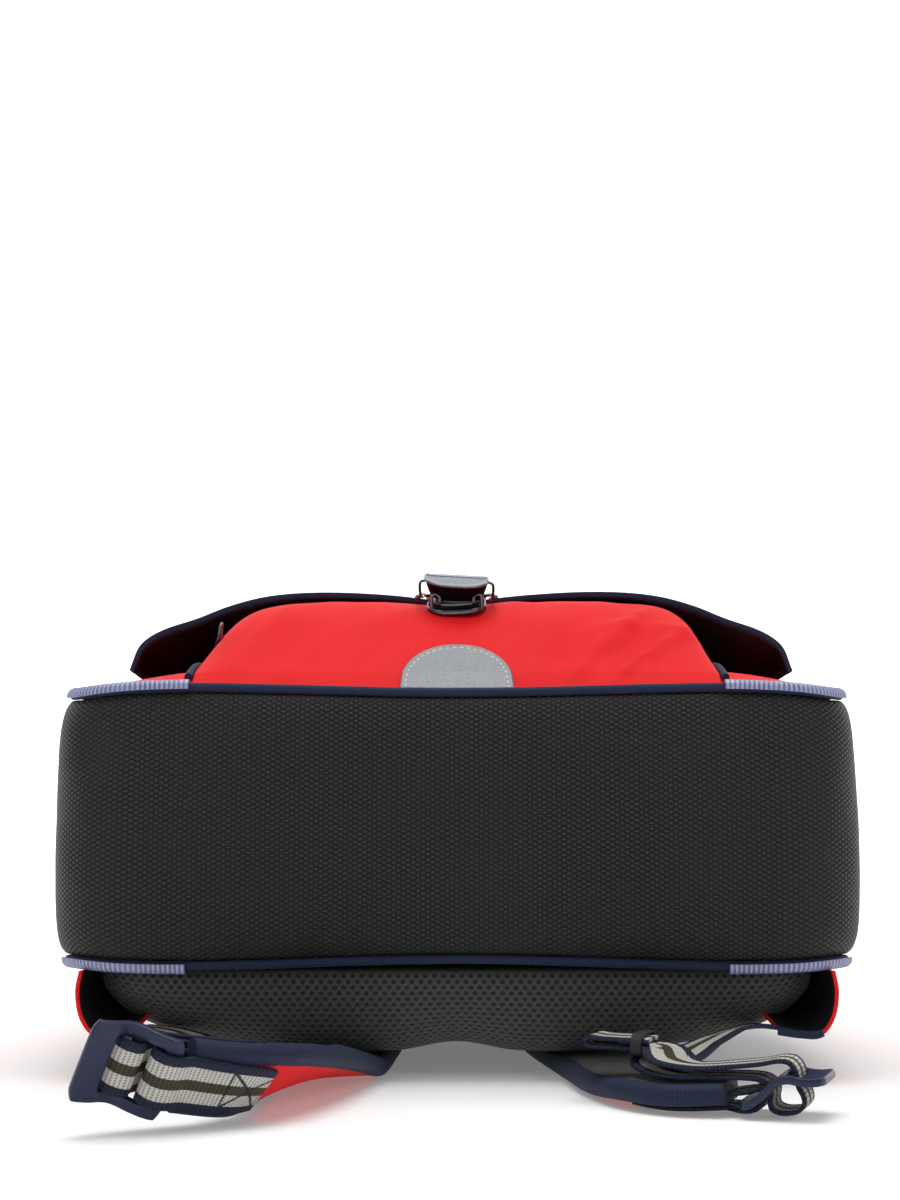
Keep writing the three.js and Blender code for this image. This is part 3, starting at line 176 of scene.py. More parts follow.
def run_of(points, axis):
    """Length walked along a grid's axis, from its first row or column, in millimetres."""
    steps = np.linalg.norm(np.diff(points, axis=axis), axis=-1)
    zero = np.zeros_like(np.take(steps, [0], axis=axis))
    return np.concatenate([zero, np.cumsum(steps, axis=axis)], axis=axis)


def thicken(piece, wall, offset=-1.0, inner_slot=0):
    """Give a sheet its wall: Solidify, applied, with the inner side and the rim in another slot if asked."""
    solid = piece.modifiers.new("wall", "SOLIDIFY")
    solid.thickness = wall / 1000
    solid.offset = offset
    solid.use_even_offset = True
    solid.material_offset = inner_slot
    return apply_modifiers(piece)


def apply_modifiers(piece):
    """Put the result of the piece's modifiers into its mesh."""
    graph = bpy.context.evaluated_depsgraph_get()
    graph.update()
    made = bpy.data.meshes.new_from_object(piece.evaluated_get(graph))
    piece.modifiers.clear()
    piece.data = made
    return piece


def faced(piece, outward):
    """Turn the whole mesh round if its first faces look against the outward direction."""
    mesh = piece.data
    normals = np.zeros(len(mesh.polygons) * 3, np.float32)
    mesh.polygons.foreach_get("normal", normals)
    if normals.reshape(-1, 3).sum(0) @ np.asarray(outward, float) < 0:
        mesh.flip_normals()
    return piece


def lerp(a, b, share):
    """The value a share of the way from a to b."""
    return a + (b - a) * share


def unit(vectors):
    """Vectors scaled to length one."""
    return vectors / np.maximum(np.linalg.norm(vectors, axis=-1, keepdims=True), 1e-9)


def boxed(wave, power):
    """A sine or cosine bent towards a square wave: its size raised to a power below one, its sign kept."""
    return np.sign(wave) * np.abs(wave) ** power


def crowded(v):
    """Spread -1 to 1 with steps that shrink towards both ends: the sine of a half turn."""
    return np.sin((v - 0.5) * np.pi)


# %% [markdown]
# ## Shader maths as expressions
#
# A finish is a sum of small patterns. Written as node links it is unreadable, so one class wraps a socket
# and overloads the operators: an expression on values adds the Math nodes. A second class holds the
# material and makes any other node.

# %% Value and Finish
class Value:
    """A number that varies over the surface; arithmetic on it adds Math nodes."""

    def __init__(self, finish, socket):
        self.finish, self.socket = finish, socket

    def maths(self, operation, *others):
        inputs = {k: v for k, v in enumerate((self, *others))}
        return self.finish.node("ShaderNodeMath", {"operation": operation}, inputs)

    def flipped(self, operation, other):
        return self.finish.node("ShaderNodeMath", {"operation": operation}, {0: other, 1: self})

    def __add__(self, other):
        return self.maths("ADD", other)

    def __sub__(self, other):
        return self.maths("SUBTRACT", other)

    def __mul__(self, other):
        return self.maths("MULTIPLY", other)

    def __truediv__(self, other):
        return self.maths("DIVIDE", other)

    def __rsub__(self, other):
        return self.flipped("SUBTRACT", other)

    __radd__ = __add__
    __rmul__ = __mul__

    def fract(self):
        return self.maths("FRACT")

    def size(self):
        return self.maths("ABSOLUTE")

    def most(self, other):
        return self.maths("MAXIMUM", other)

    def least(self, other):
        return self.maths("MINIMUM", other)

    def ramp(self, low, high):
        """0 below low, 1 above high and a smooth step between them; high may be the smaller one."""
        settings = {"interpolation_type": "SMOOTHSTEP"}
        inputs = {"Value": self, "From Min": low, "From Max": high}
        return self.finish.node("ShaderNodeMapRange", settings, inputs)


class Finish:
    """A material: Principled constants on its own sockets, patterns added by node()."""

    def __init__(self, name, colour=None, **constants):
        self.material = bpy.data.materials.new(name)
        self.material.use_nodes = True
        self.tree = self.material.node_tree
        self.shader = self.tree.nodes["Principled BSDF"]
        if colour is not None:
            self.shader.inputs["Base Color"].default_value = (*colour, 1)
        for key, value in constants.items():
            self.shader.inputs[key.replace("_", " ").title().replace("Ior", "IOR")].default_value = value

    def node(self, kind, settings=None, inputs=None, output=0):
        made = self.tree.nodes.new(kind)
        for key, value in (settings or {}).items():
            setattr(made, key, value)
        for key, value in (inputs or {}).items():
            self.give(made.inputs[key], value)
        return Value(self, made.outputs[output])

    def give(self, socket, value):
        if isinstance(value, Value):
            self.tree.links.new(value.socket, socket)
        elif isinstance(value, tuple) and len(value) == 3 and socket.type == "RGBA":
            socket.default_value = (*value, 1)
        else:
            socket.default_value = value

    def put(self, **values):
        for key, value in values.items():
            self.give(self.shader.inputs[key.replace("_", " ").title()], value)
        return self

    def uv(self):
        """Distances over the cloth in millimetres, from the piece's own UV map."""
        source = self.node("ShaderNodeUVMap", {"uv_map": "UVMap"})
        parts = self.node("ShaderNodeSeparateXYZ", None, {0: source})
        across = Value(self, parts.socket)
        along = Value(self, parts.socket.node.outputs[1])
        return across * 1000, along * 1000

    def place(self):
        """Object coordinates as a vector, in metres."""
        return self.node("ShaderNodeTexCoord", None, None, "Object")

    def noise(self, scale, detail=3.0, vector=None, roughness=0.5):
        inputs = {"Vector": vector or self.place(), "Scale": scale, "Detail": detail, "Roughness": roughness}
        return self.node("ShaderNodeTexNoise", None, inputs, "Fac")

    def mixed(self, share, first, second):
        """Colour first where share is 0, second where it is 1."""
        inputs = {0: share, 6: first, 7: second}
        return self.node("ShaderNodeMix", {"data_type": "RGBA"}, inputs, 2)

    def relief(self, height, depth_mm, strength=1.0):
        """Bump from a height of 0 to 1 that stands depth_mm high."""
        inputs = {"Height": height, "Distance": depth_mm / 1000, "Strength": strength}
        return self.put(normal=self.node("ShaderNodeBump", None, inputs, "Normal"))


# %% [markdown]
# ## Finishes
#
# The base is a coated cloth with raised oval grains in staggered columns. The red cloth is a fine twill. The
# pad and the straps' inner sides are an air mesh with open round holes. The webbing has five lengthwise
# bands and thick cross ribs. Each is a formula on the UV map, in millimetres.

# %% Cloth finishes
def dome_lattice(finish, u, v, pitch_u, pitch_v, radius_u, radius_v):
    """Height 0 to 1 of round bumps on two interleaved lattices: one minus the distance from the nearest
    bump's middle, smoothed, where the second lattice is moved by half a pitch both ways."""
    heights = []
    for shift in (0.0, 0.5):
        du = ((u / pitch_u + shift).fract() - 0.5) * (pitch_u / radius_u)
        dv = ((v / pitch_v + shift).fract() - 0.5) * (pitch_v / radius_v)
        heights.append((1 - (du * du + dv * dv)).ramp(-0.35, 0.9))
    return heights[0].most(heights[1])


def base_cloth():
    finish = Finish("base_grain", specular_ior_level=0.3)
    u, v = finish.uv()
    grain = dome_lattice(finish, u, v, 4.8, 2.7, 1.25, 0.72)
    wear = finish.noise(14.0)
    # painted highlight: the raised grains are coloured lighter on their tops than in the gaps between them,
    # standing in for light caught on each grain
    colour = finish.mixed(grain, (0.0028, 0.0031, 0.0030), (0.026, 0.0275, 0.0265))
    finish.put(base_color=finish.mixed(wear.ramp(0.35, 0.75) * 0.35, colour, (0.012, 0.013, 0.0125)))
    finish.put(roughness=0.62 - grain * 0.24)
    return finish.relief(grain, 0.55)


def red_twill():
    finish = Finish("red_twill", roughness=0.62, specular_ior_level=0.14)
    u, v = finish.uv()
    rib = ((u + v * 1.1) / 0.95).fract()
    weft = ((v - u * 0.2) / 0.62).fract()
    height = (rib - 0.5).size() * 1.4 + (weft - 0.5).size() * 0.6
    tone = finish.noise(26.0, 4.0)
    colour = finish.mixed(tone.ramp(0.3, 0.7), (0.78, 0.0085, 0.011), (0.85, 0.013, 0.015))
    finish.put(base_color=finish.mixed(height.ramp(0.0, 0.8), (0.66, 0.006, 0.009), colour))
    buckles = finish.noise(11.0, 2.0)
    return finish.relief(height * 0.09 + buckles * 3.2, 1.0)


def navy_tape():
    finish = Finish("navy_tape", roughness=0.7, specular_ior_level=0.25, sheen_weight=0.03)
    u, v = finish.uv()
    ribs = ((v / 0.9).fract() - 0.5).size() * 2
    tone = finish.noise(60.0, 2.0)
    colour = finish.mixed(ribs, (0.007, 0.012, 0.034), (0.014, 0.023, 0.066))
    finish.put(base_color=finish.mixed(tone.ramp(0.4, 0.7) * 0.3, colour, (0.010, 0.015, 0.040)))
    return finish.relief(ribs, 0.07)


def air_mesh(name, light, dark, pitch=4.5):
    finish = Finish(name, roughness=0.75, sheen_weight=0.12)
    u, v = finish.uv()
    hole = dome_lattice(finish, u, v, pitch, pitch * 1.36, pitch * 0.30, pitch * 0.30)
    knit = (((u / 0.55).fract() - 0.5).size() + ((v / 0.7).fract() - 0.5).size())
    colour = finish.mixed(hole.ramp(0.25, 0.6), light, dark)
    finish.put(base_color=finish.mixed(knit * 0.25, colour, dark))
    return finish.relief(1 - hole + knit * 0.12, 0.9)


def webbing_cloth(name, sewn=False):
    """Five bands across, cross ribs along; where sewn, dark rows of stitches make a box and its cross."""
    finish = Finish(name, roughness=0.7, specular_ior_level=0.3)
    u, v = finish.uv()
    rib = ((v / 1.9).fract() - 0.5).size() * 2
    picks = ((u / 1.3 + (v / 3.8).fract().ramp(0.49, 0.51) * 0.5).fract() - 0.5).size() * 2
    navy, white, khaki = (0.010, 0.016, 0.045), (0.62, 0.60, 0.55), (0.060, 0.047, 0.022)
    off = u.size()
    colour = finish.mixed(off.ramp(2.3, 2.7), khaki, white)
    colour = finish.mixed(off.ramp(8.3, 8.7), colour, navy)
    shade = (rib * 0.6 + picks * 0.4).ramp(0.0, 0.75)
    dimmed = finish.node("ShaderNodeMix", {"data_type": "RGBA", "blend_type": "MULTIPLY"},
                         {0: 1.0, 6: colour, 7: finish.mixed(shade, (0.30, 0.30, 0.31), (1.0, 1.0, 1.0))}, 2)
    height = rib * 0.7 + picks * 0.3
    if sewn:
        middle, half_long, half_wide = 17.0, 12.0, 9.2
        along, off = (v - middle).size(), u.size()
        inside = (half_long + 0.4 - along).ramp(0, 0.2) * (half_wide + 0.4 - off).ramp(0, 0.2)
        box = (along - half_long).size().least((off - half_wide).size())
        cross = (off / half_wide - along / half_long).size() * (half_wide * 0.78)
        stitch = box.least(cross).ramp(0.75, 0.40) * inside * ((u + v) / 1.5).fract().ramp(0.98, 0.80)
        finish.put(base_color=finish.mixed(stitch, dimmed, (0.008, 0.012, 0.030)))
        return finish.relief(height - stitch * 1.3, 0.42)
    finish.put(base_color=dimmed)
    return finish.relief(height, 0.42)


def flat_weave(name, colour, dark, pitch=0.8, depth=0.12):
    finish = Finish(name, roughness=0.7)
    u, v = finish.uv()
    weave = ((u / pitch).fract() - 0.5).size() + ((v / pitch).fract() - 0.5).size()
    finish.put(base_color=finish.mixed(weave, dark, colour))
    return finish.relief(weave, depth)


def grained_lining():
    finish = Finish("black_lining", roughness=0.48)
    cells = finish.node("ShaderNodeTexVoronoi", {"feature": "DISTANCE_TO_EDGE"},
                        {"Vector": finish.place(), "Scale": 700.0}, "Distance")
    grain = cells.ramp(0.0, 0.25)
    finish.put(base_color=finish.mixed(grain, (0.004, 0.004, 0.005), (0.018, 0.016, 0.019)))
    return finish.relief(grain, 0.12)


def reflective():
    finish = Finish("silver_reflector", roughness=0.45, metallic=0.2)
    u, v = finish.uv()
    speck = finish.noise(900.0, 1.0)
    edge = finish.node("ShaderNodeAttribute", {"attribute_name": "rim"}, None, "Fac")
    stitch_line = ((edge - 2.6).size() * -1 + 0.55).ramp(0.0, 0.3)
    along = finish.node("ShaderNodeAttribute", {"attribute_name": "rim_run"}, None, "Fac")
    dash = ((along / 3.4).fract() - 0.5).size().ramp(0.36, 0.30)
    thread = stitch_line * dash
    body = finish.mixed(speck.ramp(0.35, 0.65), (0.165, 0.172, 0.184), (0.215, 0.223, 0.236))
    finish.put(base_color=finish.mixed(thread, body, (0.46, 0.46, 0.45)))
    return finish.relief(thread * 1.0 - stitch_line * 0.5 + speck * 0.1, 0.3)


BASE, RED, NAVY = base_cloth(), red_twill(), navy_tape()
MESH = air_mesh("air_mesh", (0.052, 0.058, 0.052), (0.0022, 0.0026, 0.0024))
STRAP_MESH = air_mesh("strap_mesh", (0.050, 0.055, 0.050), (0.002, 0.002, 0.002), 3.4)
WEBBING, SEWN_WEBBING = webbing_cloth("striped_webbing"), webbing_cloth("sewn_webbing", True)
BLACK_ELASTIC = flat_weave("black_elastic", (0.022, 0.022, 0.022), (0.004, 0.004, 0.004))
THREAD = flat_weave("dark_thread", (0.012, 0.015, 0.035), (0.004, 0.005, 0.012), 0.5, 0.1)
LINING, SILVER = grained_lining(), reflective()
print("cloth finishes:", len(bpy.data.materials))

# %% [markdown]
# The hard parts are few: navy acetal for the two strap adjusters, a milky ribbed plastic for the corner
# guards, dark plated metal for the lock and a glossy black insert. Fine noise in the roughness keeps their
# gloss from looking like a drawing.

# %% Hard finishes
def moulded(name, colour, roughness, **constants):
    finish = Finish(name, colour, **constants)
    fine = finish.noise(500.0, 2.0)
    finish.put(roughness=fine * 0.12 + (roughness - 0.06))
    return finish.relief(fine, 0.015)


def guard_plastic():
    finish = Finish("milky_guard", roughness=0.3, coat_weight=0.3, coat_roughness=0.15)
    u, v = finish.uv()
    rib = ((v / 2.4).fract() - 0.5).size() * 2
    clouds = finish.noise(80.0, 2.0)
    # the ribs are coloured in light and dark bands along their pitch: partly the navy cord showing through
    # the thin plastic, partly painted highlight on the ribs
    colour = finish.mixed(rib.ramp(0.1, 0.8), (0.36, 0.38, 0.58), (0.10, 0.115, 0.24))
    finish.put(base_color=finish.mixed(clouds.ramp(0.4, 0.7) * 0.3, colour, (0.26, 0.28, 0.46)))
    return finish


def dark_metal():
    finish = Finish("dark_plating", metallic=1.0)
    scuff = finish.noise(220.0, 4.0)
    finish.put(base_color=finish.mixed(scuff, (0.07, 0.07, 0.075), (0.15, 0.15, 0.16)))
    return finish.put(roughness=scuff * 0.16 + 0.10)


GUARD = guard_plastic()
ACETAL = moulded("navy_plastic", (0.008, 0.014, 0.050), 0.36, specular_ior_level=0.4)
METAL = dark_metal()
COVER_METAL = moulded("cover_plate", (0.15, 0.165, 0.20), 0.26, metallic=1.0)
GLOSS_BLACK = moulded("gloss_black", (0.002, 0.002, 0.002), 0.32, specular_ior_level=0.08)
print("all finishes:", len(bpy.data.materials))


def finished(piece, body, *finishes, replaces=(), slot=None):
    """Give a piece its finishes, its body, and the frame nodes it stands for."""
    if not piece.data.materials:
        for finish in finishes:
            piece.data.materials.append(finish.material)
    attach(piece, body)
    if replaces:
        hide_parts(*replaces)
    print(piece.name, "faces:", len(piece.data.polygons))
    return piece


# %% [markdown]
# ## Camera, light and floor
#
# The camera stands a metre in front of the base, a hand's width above the ground, and looks slightly up. A
# large lamp above gives most of the light, and two weak ones stand at the sides. The white sheet glows a
# little, more so with distance, which makes its far part plain white.

# %% Camera
CAMERA_HEIGHT, CAMERA_BACK, CAMERA_SIDE = 129.0, 1000.0, -3.5
CAMERA_PITCH, LENS = 6.23, 60.42
camera_data = bpy.data.cameras.new("camera")
camera_data.lens = LENS
camera_data.sensor_width = 36.0
camera_data.clip_end = 50.0
camera = bpy.data.objects.new("camera", camera_data)
camera.location = place([CAMERA_SIDE, -CAMERA_BACK, CAMERA_HEIGHT])
camera.rotation_euler = (np.radians(90 + CAMERA_PITCH), 0, 0)
bpy.context.scene.collection.objects.link(camera)
bpy.context.scene.camera = camera


# %% Studio sheet and lamps
SHEET_FRONT, SHEET_HALF = -6000.0, 7000.0
SHEET_FLAT, SHEET_BEND, SHEET_TOP = 3000.0, 1200.0, 4200.0
TOP_POWER, SIDE_POWER, WORLD_STRENGTH = 46, 7, 0.36
BAG_MIDDLE = (0, 0, 0.1)


def studio_sheet():
    """White sheet behind and under the bag: flat, a quarter circle up, then a wall."""
    turn = np.linspace(0, np.pi / 2, 13)
    wall = np.linspace(SHEET_BEND, SHEET_TOP, 4)[1:]
    y = np.concatenate([np.linspace(SHEET_FRONT, SHEET_FLAT, 10), SHEET_FLAT + SHEET_BEND * np.sin(turn[1:]),
                        np.full(len(wall), SHEET_FLAT + SHEET_BEND)])
    z = np.concatenate([np.zeros(10), SHEET_BEND * (1 - np.cos(turn[1:])), wall])
    x = np.linspace(-SHEET_HALF, SHEET_HALF, 9)
    ground = -SHIFT[2] - 0.05
    points = np.stack(np.broadcast_arrays(x, y[:, None], z[:, None] + ground), -1)
    return grid_piece("studio_sheet", points, points[..., :2])


white = Finish("white_sheet", (0.86, 0.86, 0.86), roughness=0.9, emission_strength=1.0)
far_part = white.node("ShaderNodeSeparateXYZ", None, {0: white.place()}, "Y").ramp(0.5, 1.6)
white.put(emission_color=white.mixed(far_part, (0.16, 0.16, 0.16), (0.9, 0.9, 0.9)))
sheet = studio_sheet()
sheet.data.materials.append(white.material)


def lamp(name, spot, aim, size, power):
    """A square area lamp at spot that looks at aim; metres and watts."""
    data = bpy.data.lights.new(name, "AREA")
    data.shape, data.size, data.energy = "SQUARE", size, power
    made = bpy.data.objects.new(name, data)
    made.location = spot
    heading = np.asarray(aim, float) - np.asarray(spot, float)
    yaw = np.arctan2(heading[0], -heading[1])
    tilt = np.arctan2(np.hypot(heading[0], heading[1]), -heading[2])
    made.rotation_euler = (tilt, 0, yaw + np.pi)
    bpy.context.scene.collection.objects.link(made)
    return made


lamp("top_lamp", (0, -0.1, 2.4), BAG_MIDDLE, 2.0, TOP_POWER)
lamp("left_lamp", (-2.0, -1.4, 1.3), BAG_MIDDLE, 1.2, SIDE_POWER)
lamp("right_lamp", (2.0, -1.4, 1.3), BAG_MIDDLE, 1.2, SIDE_POWER)
world = bpy.data.worlds.new("world")
world.use_nodes = True
world.node_tree.nodes["Background"].inputs["Color"].default_value = (1, 1, 1, 1)
world.node_tree.nodes["Background"].inputs["Strength"].default_value = WORLD_STRENGTH
bpy.context.scene.world = world
bpy.context.scene.view_settings.view_transform = "Standard"
print("camera and lamps are set")

# %% [markdown]
# ## The body's strip and its seams
#
# Base and sides are one long strip between two seams. A distance s along the seam and a share t from the
# back seam to the front one give every point: the seam line plus a bulge outwards that dies at the seams.
# Slow sine ripples keep the cloth from looking pressed.

# %% Seam and strip
def seam(s):
    """Seam line at distance s from the base's middle: straight, a quarter circle, straight."""
    side, run = np.where(s < 0, -1.0, 1.0), np.abs(s)
    turn = np.clip((run - SEAM_FLAT) / CORNER, 0, np.pi / 2)
    out_x, out_y = np.sin(turn), -np.cos(turn)
    x = np.where(run < SEAM_FLAT, run, SEAM_FLAT + CORNER * out_x)
    y = BULGE + CORNER * (1 + out_y) + np.maximum(run - SEAM_FLAT - SEAM_ARC, 0)
    return side * x, y, side * out_x, out_y


def bulge(s, t):
    """How far the strip stands out past its seams: a parabola and a much flatter bow, mixed, and a little
    more towards the back seam."""
    start = SEAM_FLAT + SEAM_ARC / 2
    share = np.clip((np.abs(s) - start) / (SEAM_LENGTH - start), 0, 1)
    swell = BULGE + SIDE_SWELL * np.sin(np.pi * share ** 0.8) ** 2
    bow = 0.2 * (1 - t * t) + 0.8 * np.sqrt(np.maximum(0, 1 - np.abs(t) ** 8))
    return swell * bow * (1 - 0.1 * t)


def ripple(a, b, wave, seed=0.0):
    """Three crossed sine waves of about the given length, between -1 and 1."""
    k = 2 * np.pi / wave
    return (np.sin(k * a + 1.3 * np.sin(0.7 * k * b + seed)) + np.sin(k * (0.6 * b - 0.8 * a) + 2.1 + seed)
            + np.sin(k * (0.5 * a + 0.9 * b) * 0.63 + 4.0 * seed)) / 3


def strip(name, start, end, columns, finish, node, slot):
    s, t = np.meshgrid(np.linspace(start, end, columns), crowded(np.linspace(0, 1, 61)))
    x, y, out_x, out_y = seam(s)
    z = MIDDLE_Z + t * (BODY_DEPTH / 2 - PIPING - FIT)
    calm = np.sqrt(np.maximum(0, 1 - t ** 4))
    out = bulge(s, t) + calm * (0.55 * ripple(s, z, 95.0) + 0.3 * ripple(s, z, 41.0, 2.0))
    dent = np.exp(-(((s + SEAM_FLAT + 22) / 11) ** 2)) * np.exp(-(((t - 0.62) / 0.22) ** 2))
    shallow = np.exp(-(((s - SEAM_FLAT - 26) / 18) ** 2)) * np.exp(-(((t + 0.5) / 0.3) ** 2))
    out = out - (2.6 * dent + 1.2 * shallow) * calm
    points = np.stack([x + out * out_x, y + out * out_y, z], -1)
    uv = np.stack([s, run_of(points, 0)], -1)
    outward = (0, -1, 0) if start < 0 < end else (np.sign(start), 0, 0)
    piece = thicken(faced(grid_piece(name, points, uv), outward), WALL)
    return finished(piece, "bag", finish, replaces=(node,), slot=slot)


BASE_END = SEAM_FLAT + SEAM_ARC + BASE_WRAP
SIDE_TOP = SEAM_LENGTH - SIDE_DROP
strip("base_strip", -BASE_END, BASE_END, 340, BASE, "base_gusset", "base_fabric")
strip("side_left", -SIDE_TOP, -BASE_END - FIT, 90, RED, "side_gusset_left", "red_fabric")
strip("side_right", BASE_END + FIT, SIDE_TOP, 90, RED, "side_gusset_right", "red_fabric")


# %% [markdown]
# ## Piping and corner guards
#
# A seam of such a bag is closed by a cord in tape. At the four bottom corners a ribbed plastic sleeve is
# pushed over it. Both are rings carried along the seam; the sleeve's radius rises and falls with its ribs.

# %% Piping and guards
def around_seam(s, z, radius, turn):
    """Point at a radius and a turn round the seam line; turn 0 looks straight out of the bag."""
    x, y, out_x, out_y = seam(s)
    out = radius * np.cos(turn)
    return np.stack([x + out * out_x, y + out * out_y, z + radius * np.sin(turn)], -1)


def seam_samples(start, end, step):
    """Distances along the seam, about step apart."""
    return np.linspace(start, end, int(round((end - start) / step)) + 1)


def piping(name, z, node):
    samples = seam_samples(-SIDE_TOP, SIDE_TOP, 2.5)
    s, turn = np.meshgrid(samples, np.linspace(0, 2 * np.pi, 15), indexing="ij")
    wobble = 1 + 0.035 * ripple(s, turn * 4, 23.0)
    points = around_seam(s, z, PIPING * wobble, turn)
    uv = np.stack([turn * PIPING, s], -1)
    piece = faced(grid_piece(name, points[:, :-1], uv, ring=True, caps=True), (0, 0, 1))
    piece.data.update()
    return finished(piece, "bag", NAVY, replaces=(node,), slot="navy_fabric")


def recalculated(piece):
    """Make a closed mesh's faces look outwards."""
    work = bmesh.new()
    work.from_mesh(piece.data)
    bmesh.ops.recalc_face_normals(work, faces=work.faces)
    work.to_mesh(piece.data)
    work.free()
    return piece


recalculated(piping("back_seam_piping", Z_BACK, "back_piping"))
recalculated(piping("front_seam_piping", Z_FRONT, "front_piping"))

RIB_PITCH, RIB_RISE = 2.4, 0.42
GUARD_INNER = PIPING + FIT + 0.1


def guard(edge, side, label, z, up):
    start, end = SEAM_FLAT - GUARD_REACH, SEAM_FLAT + SEAM_ARC + GUARD_REACH
    s = seam_samples(start, end, RIB_PITCH / 8)
    turns = np.radians(np.linspace(-14, 140, 15))
    s_grid, turn = np.meshgrid(s, turns, indexing="ij")
    inside = np.clip(np.minimum(s_grid - start, end - s_grid) / 5.0, 0, 1) > 0.99
    ribs = RIB_RISE * (0.5 + 0.5 * np.cos(2 * np.pi * (s_grid - start) / RIB_PITCH)) ** 0.7 * inside
    radius = GUARD_INNER + GUARD_WALL - RIB_RISE + ribs + 0.35 * (~inside)
    outer = around_seam(side * s_grid, z, radius, up * turn)
    inner = around_seam(side * s_grid, z, GUARD_INNER + 0 * radius, up * turn)
    ring = np.concatenate([outer, inner[:, ::-1]], 1)
    run = np.concatenate([turn, turn[:, ::-1], turn[:, :1]], 1) * GUARD_INNER
    uv = np.stack([run, np.repeat((s_grid - start)[:, :1], run.shape[1], 1)], -1)
    piece = recalculated(grid_piece(f"guard_{edge}_{label}", ring, uv, ring=True, caps=True, sharp=60))
    return finished(piece, "bag", GUARD, replaces=(f"corner_guard_{edge}_{label}",), slot="guard_plastic")


for edge, level, up in (("back", Z_BACK, -1), ("front", Z_FRONT, 1)):
    for side, label in SIDES:
        guard(edge, side, label, level, up)

# %% [markdown]
# ## Panels
#
# The front panel is pillowed: it rises fast from its seam and is nearly flat in the middle, with small
# puckers where the seam gathers it. The back panel is a flat sheet of mesh cloth behind the pad.

# %% Front and back panels
PANEL_HALF = SEAM_HALF - PANEL_INSET
PANEL_RADIUS = CORNER - PANEL_INSET


def panel_rows(count):
    """y of each row and how much the rounded corner draws it in: a quarter circle, then straight."""
    turn = np.linspace(0, np.pi / 2, 16)
    y = np.concatenate([PANEL_BASE + PANEL_RADIUS * (1 - np.cos(turn)),
                        np.linspace(PANEL_BASE + PANEL_RADIUS, BAG_HEIGHT, count)[1:]])
    drawn = np.concatenate([PANEL_RADIUS * (1 - np.sin(turn)), np.zeros(count - 1)])
    return y, drawn


def crown(x, y):
    """Height of the front panel's face over the seam: quartic across, fast rise from the base."""
    across = np.clip(np.abs(x) / PANEL_HALF, 0, 1)
    along = np.clip((y - PANEL_BASE) / CROWN_RUN, 0, 1)
    return WALL / 2 + CROWN * (1 - across ** 4) * (1 - (1 - along) ** 2.5)


def panel(name, lift, finish, node, slot, outward):
    y, drawn = panel_rows(70)
    u, y_grid = np.meshgrid(crowded(np.linspace(0, 1, 110)), y)
    x = u * (PANEL_HALF - drawn[:, None])
    points = np.stack([x, y_grid, lift(x, y_grid)], -1)
    piece = faced(grid_piece(name, points, points[..., :2]), outward)
    return finished(thicken(piece, WALL), "bag", finish, replaces=(node,), slot=slot)


def front_lift(x, y):
    """Crown plus puckers that fade within 25 mm of the seam."""
    edge = np.minimum(np.abs(np.abs(x) - PANEL_HALF), y - PANEL_BASE)
    fade = np.exp(-edge / 14) * np.clip(edge / 3, 0, 1)
    waves = 0.5 * ripple(x, y, 70.0) * np.clip(edge / 20, 0, 1)
    return Z_FRONT + crown(x, y) + fade * 0.9 * ripple(x, y, 17.0) + waves


panel("front_face", front_lift, RED, "front_panel", "red_fabric", (0, 0, 1))
panel("back_face", lambda x, y: Z_BACK - WALL / 2 + 0 * x, MESH, "back_panel", "air_mesh", (0, 0, -1))


# %% [markdown]
# ## The front pocket
#
# The pocket is a shell over the front panel: a long slope from the base seam, steep side walls and rounded
# top corners. Its cloth is loose over the lower right side, so a few long soft folds run up the slope from
# the seam. They are ridges: a bell across the fold, faded along it.

# %% Pocket surface
def pocket_half(y):
    """Half the pocket's width at y: straight, drawn in by a quarter circle near the top."""
    turn = np.clip(1 - (POCKET_END - y) / POCKET_CORNER, 0, 1)
    return POCKET_WIDTH / 2 - POCKET_CORNER * (1 - np.sqrt(1 - turn ** 2))


def pocket_lift(across, y):
    """Share of the full depth: sine slope from the base, round top, and sides that fall off as a high power
    of the distance across, a higher one on the right, where the pocket is fuller."""
    near = np.clip((y - POCKET_BASE) / SLOPE_RUN, 0, 1)
    far = np.clip((POCKET_END - y) / TOP_ROUND, 0, 1)
    along = np.sin(near * np.pi / 2) ** 1.6 * np.sqrt(1 - (1 - far) ** 2)
    power = 12 + 3 * np.clip(across * 3, -1, 1)
    return np.maximum(0, 1 - np.abs(across) ** power) ** 0.72 * along


def pocket_point(across, y, extra=0.0):
    """Point of the pocket's outer face, with extra millimetres of lift."""
    x = across * pocket_half(y)
    share = pocket_lift(across, y)
    lift = POCKET_RIM * np.clip((y - POCKET_BASE) / 9 + 0.1, 0, 1) + (POCKET_DEPTH - POCKET_RIM) * share
    pressed = 1 - np.exp(-((x / 24) ** 4) - ((y - LOCK_Y) / 30) ** 4)
    puff = 2.4 * np.clip(share * 1.6 - 0.6, 0, 1) * pressed
    return np.stack([x, y + 0 * x, Z_FRONT + crown(x, y) + lift + puff + extra], -1)


# columns: x and y where a fold starts, x and y where it ends, its half width and its height
FOLDS = np.array([
    [62, 20, 96, 66, 5.0, 1.5],
    [84, 18, 116, 52, 4.0, 1.3],
    [44, 26, 60, 74, 7.0, 1.0],
    [104, 30, 92, 80, 6.0, -1.1],
    [-112, 24, -92, 70, 6.0, 1.0],
    [-84, 20, -60, 50, 8.0, 0.7],
    [20, 30, 90, 34, 6.0, -0.9],
    [70, 50, 122, 60, 5.0, 0.9],
    [-40, 60, 30, 84, 9.0, 0.6],
])


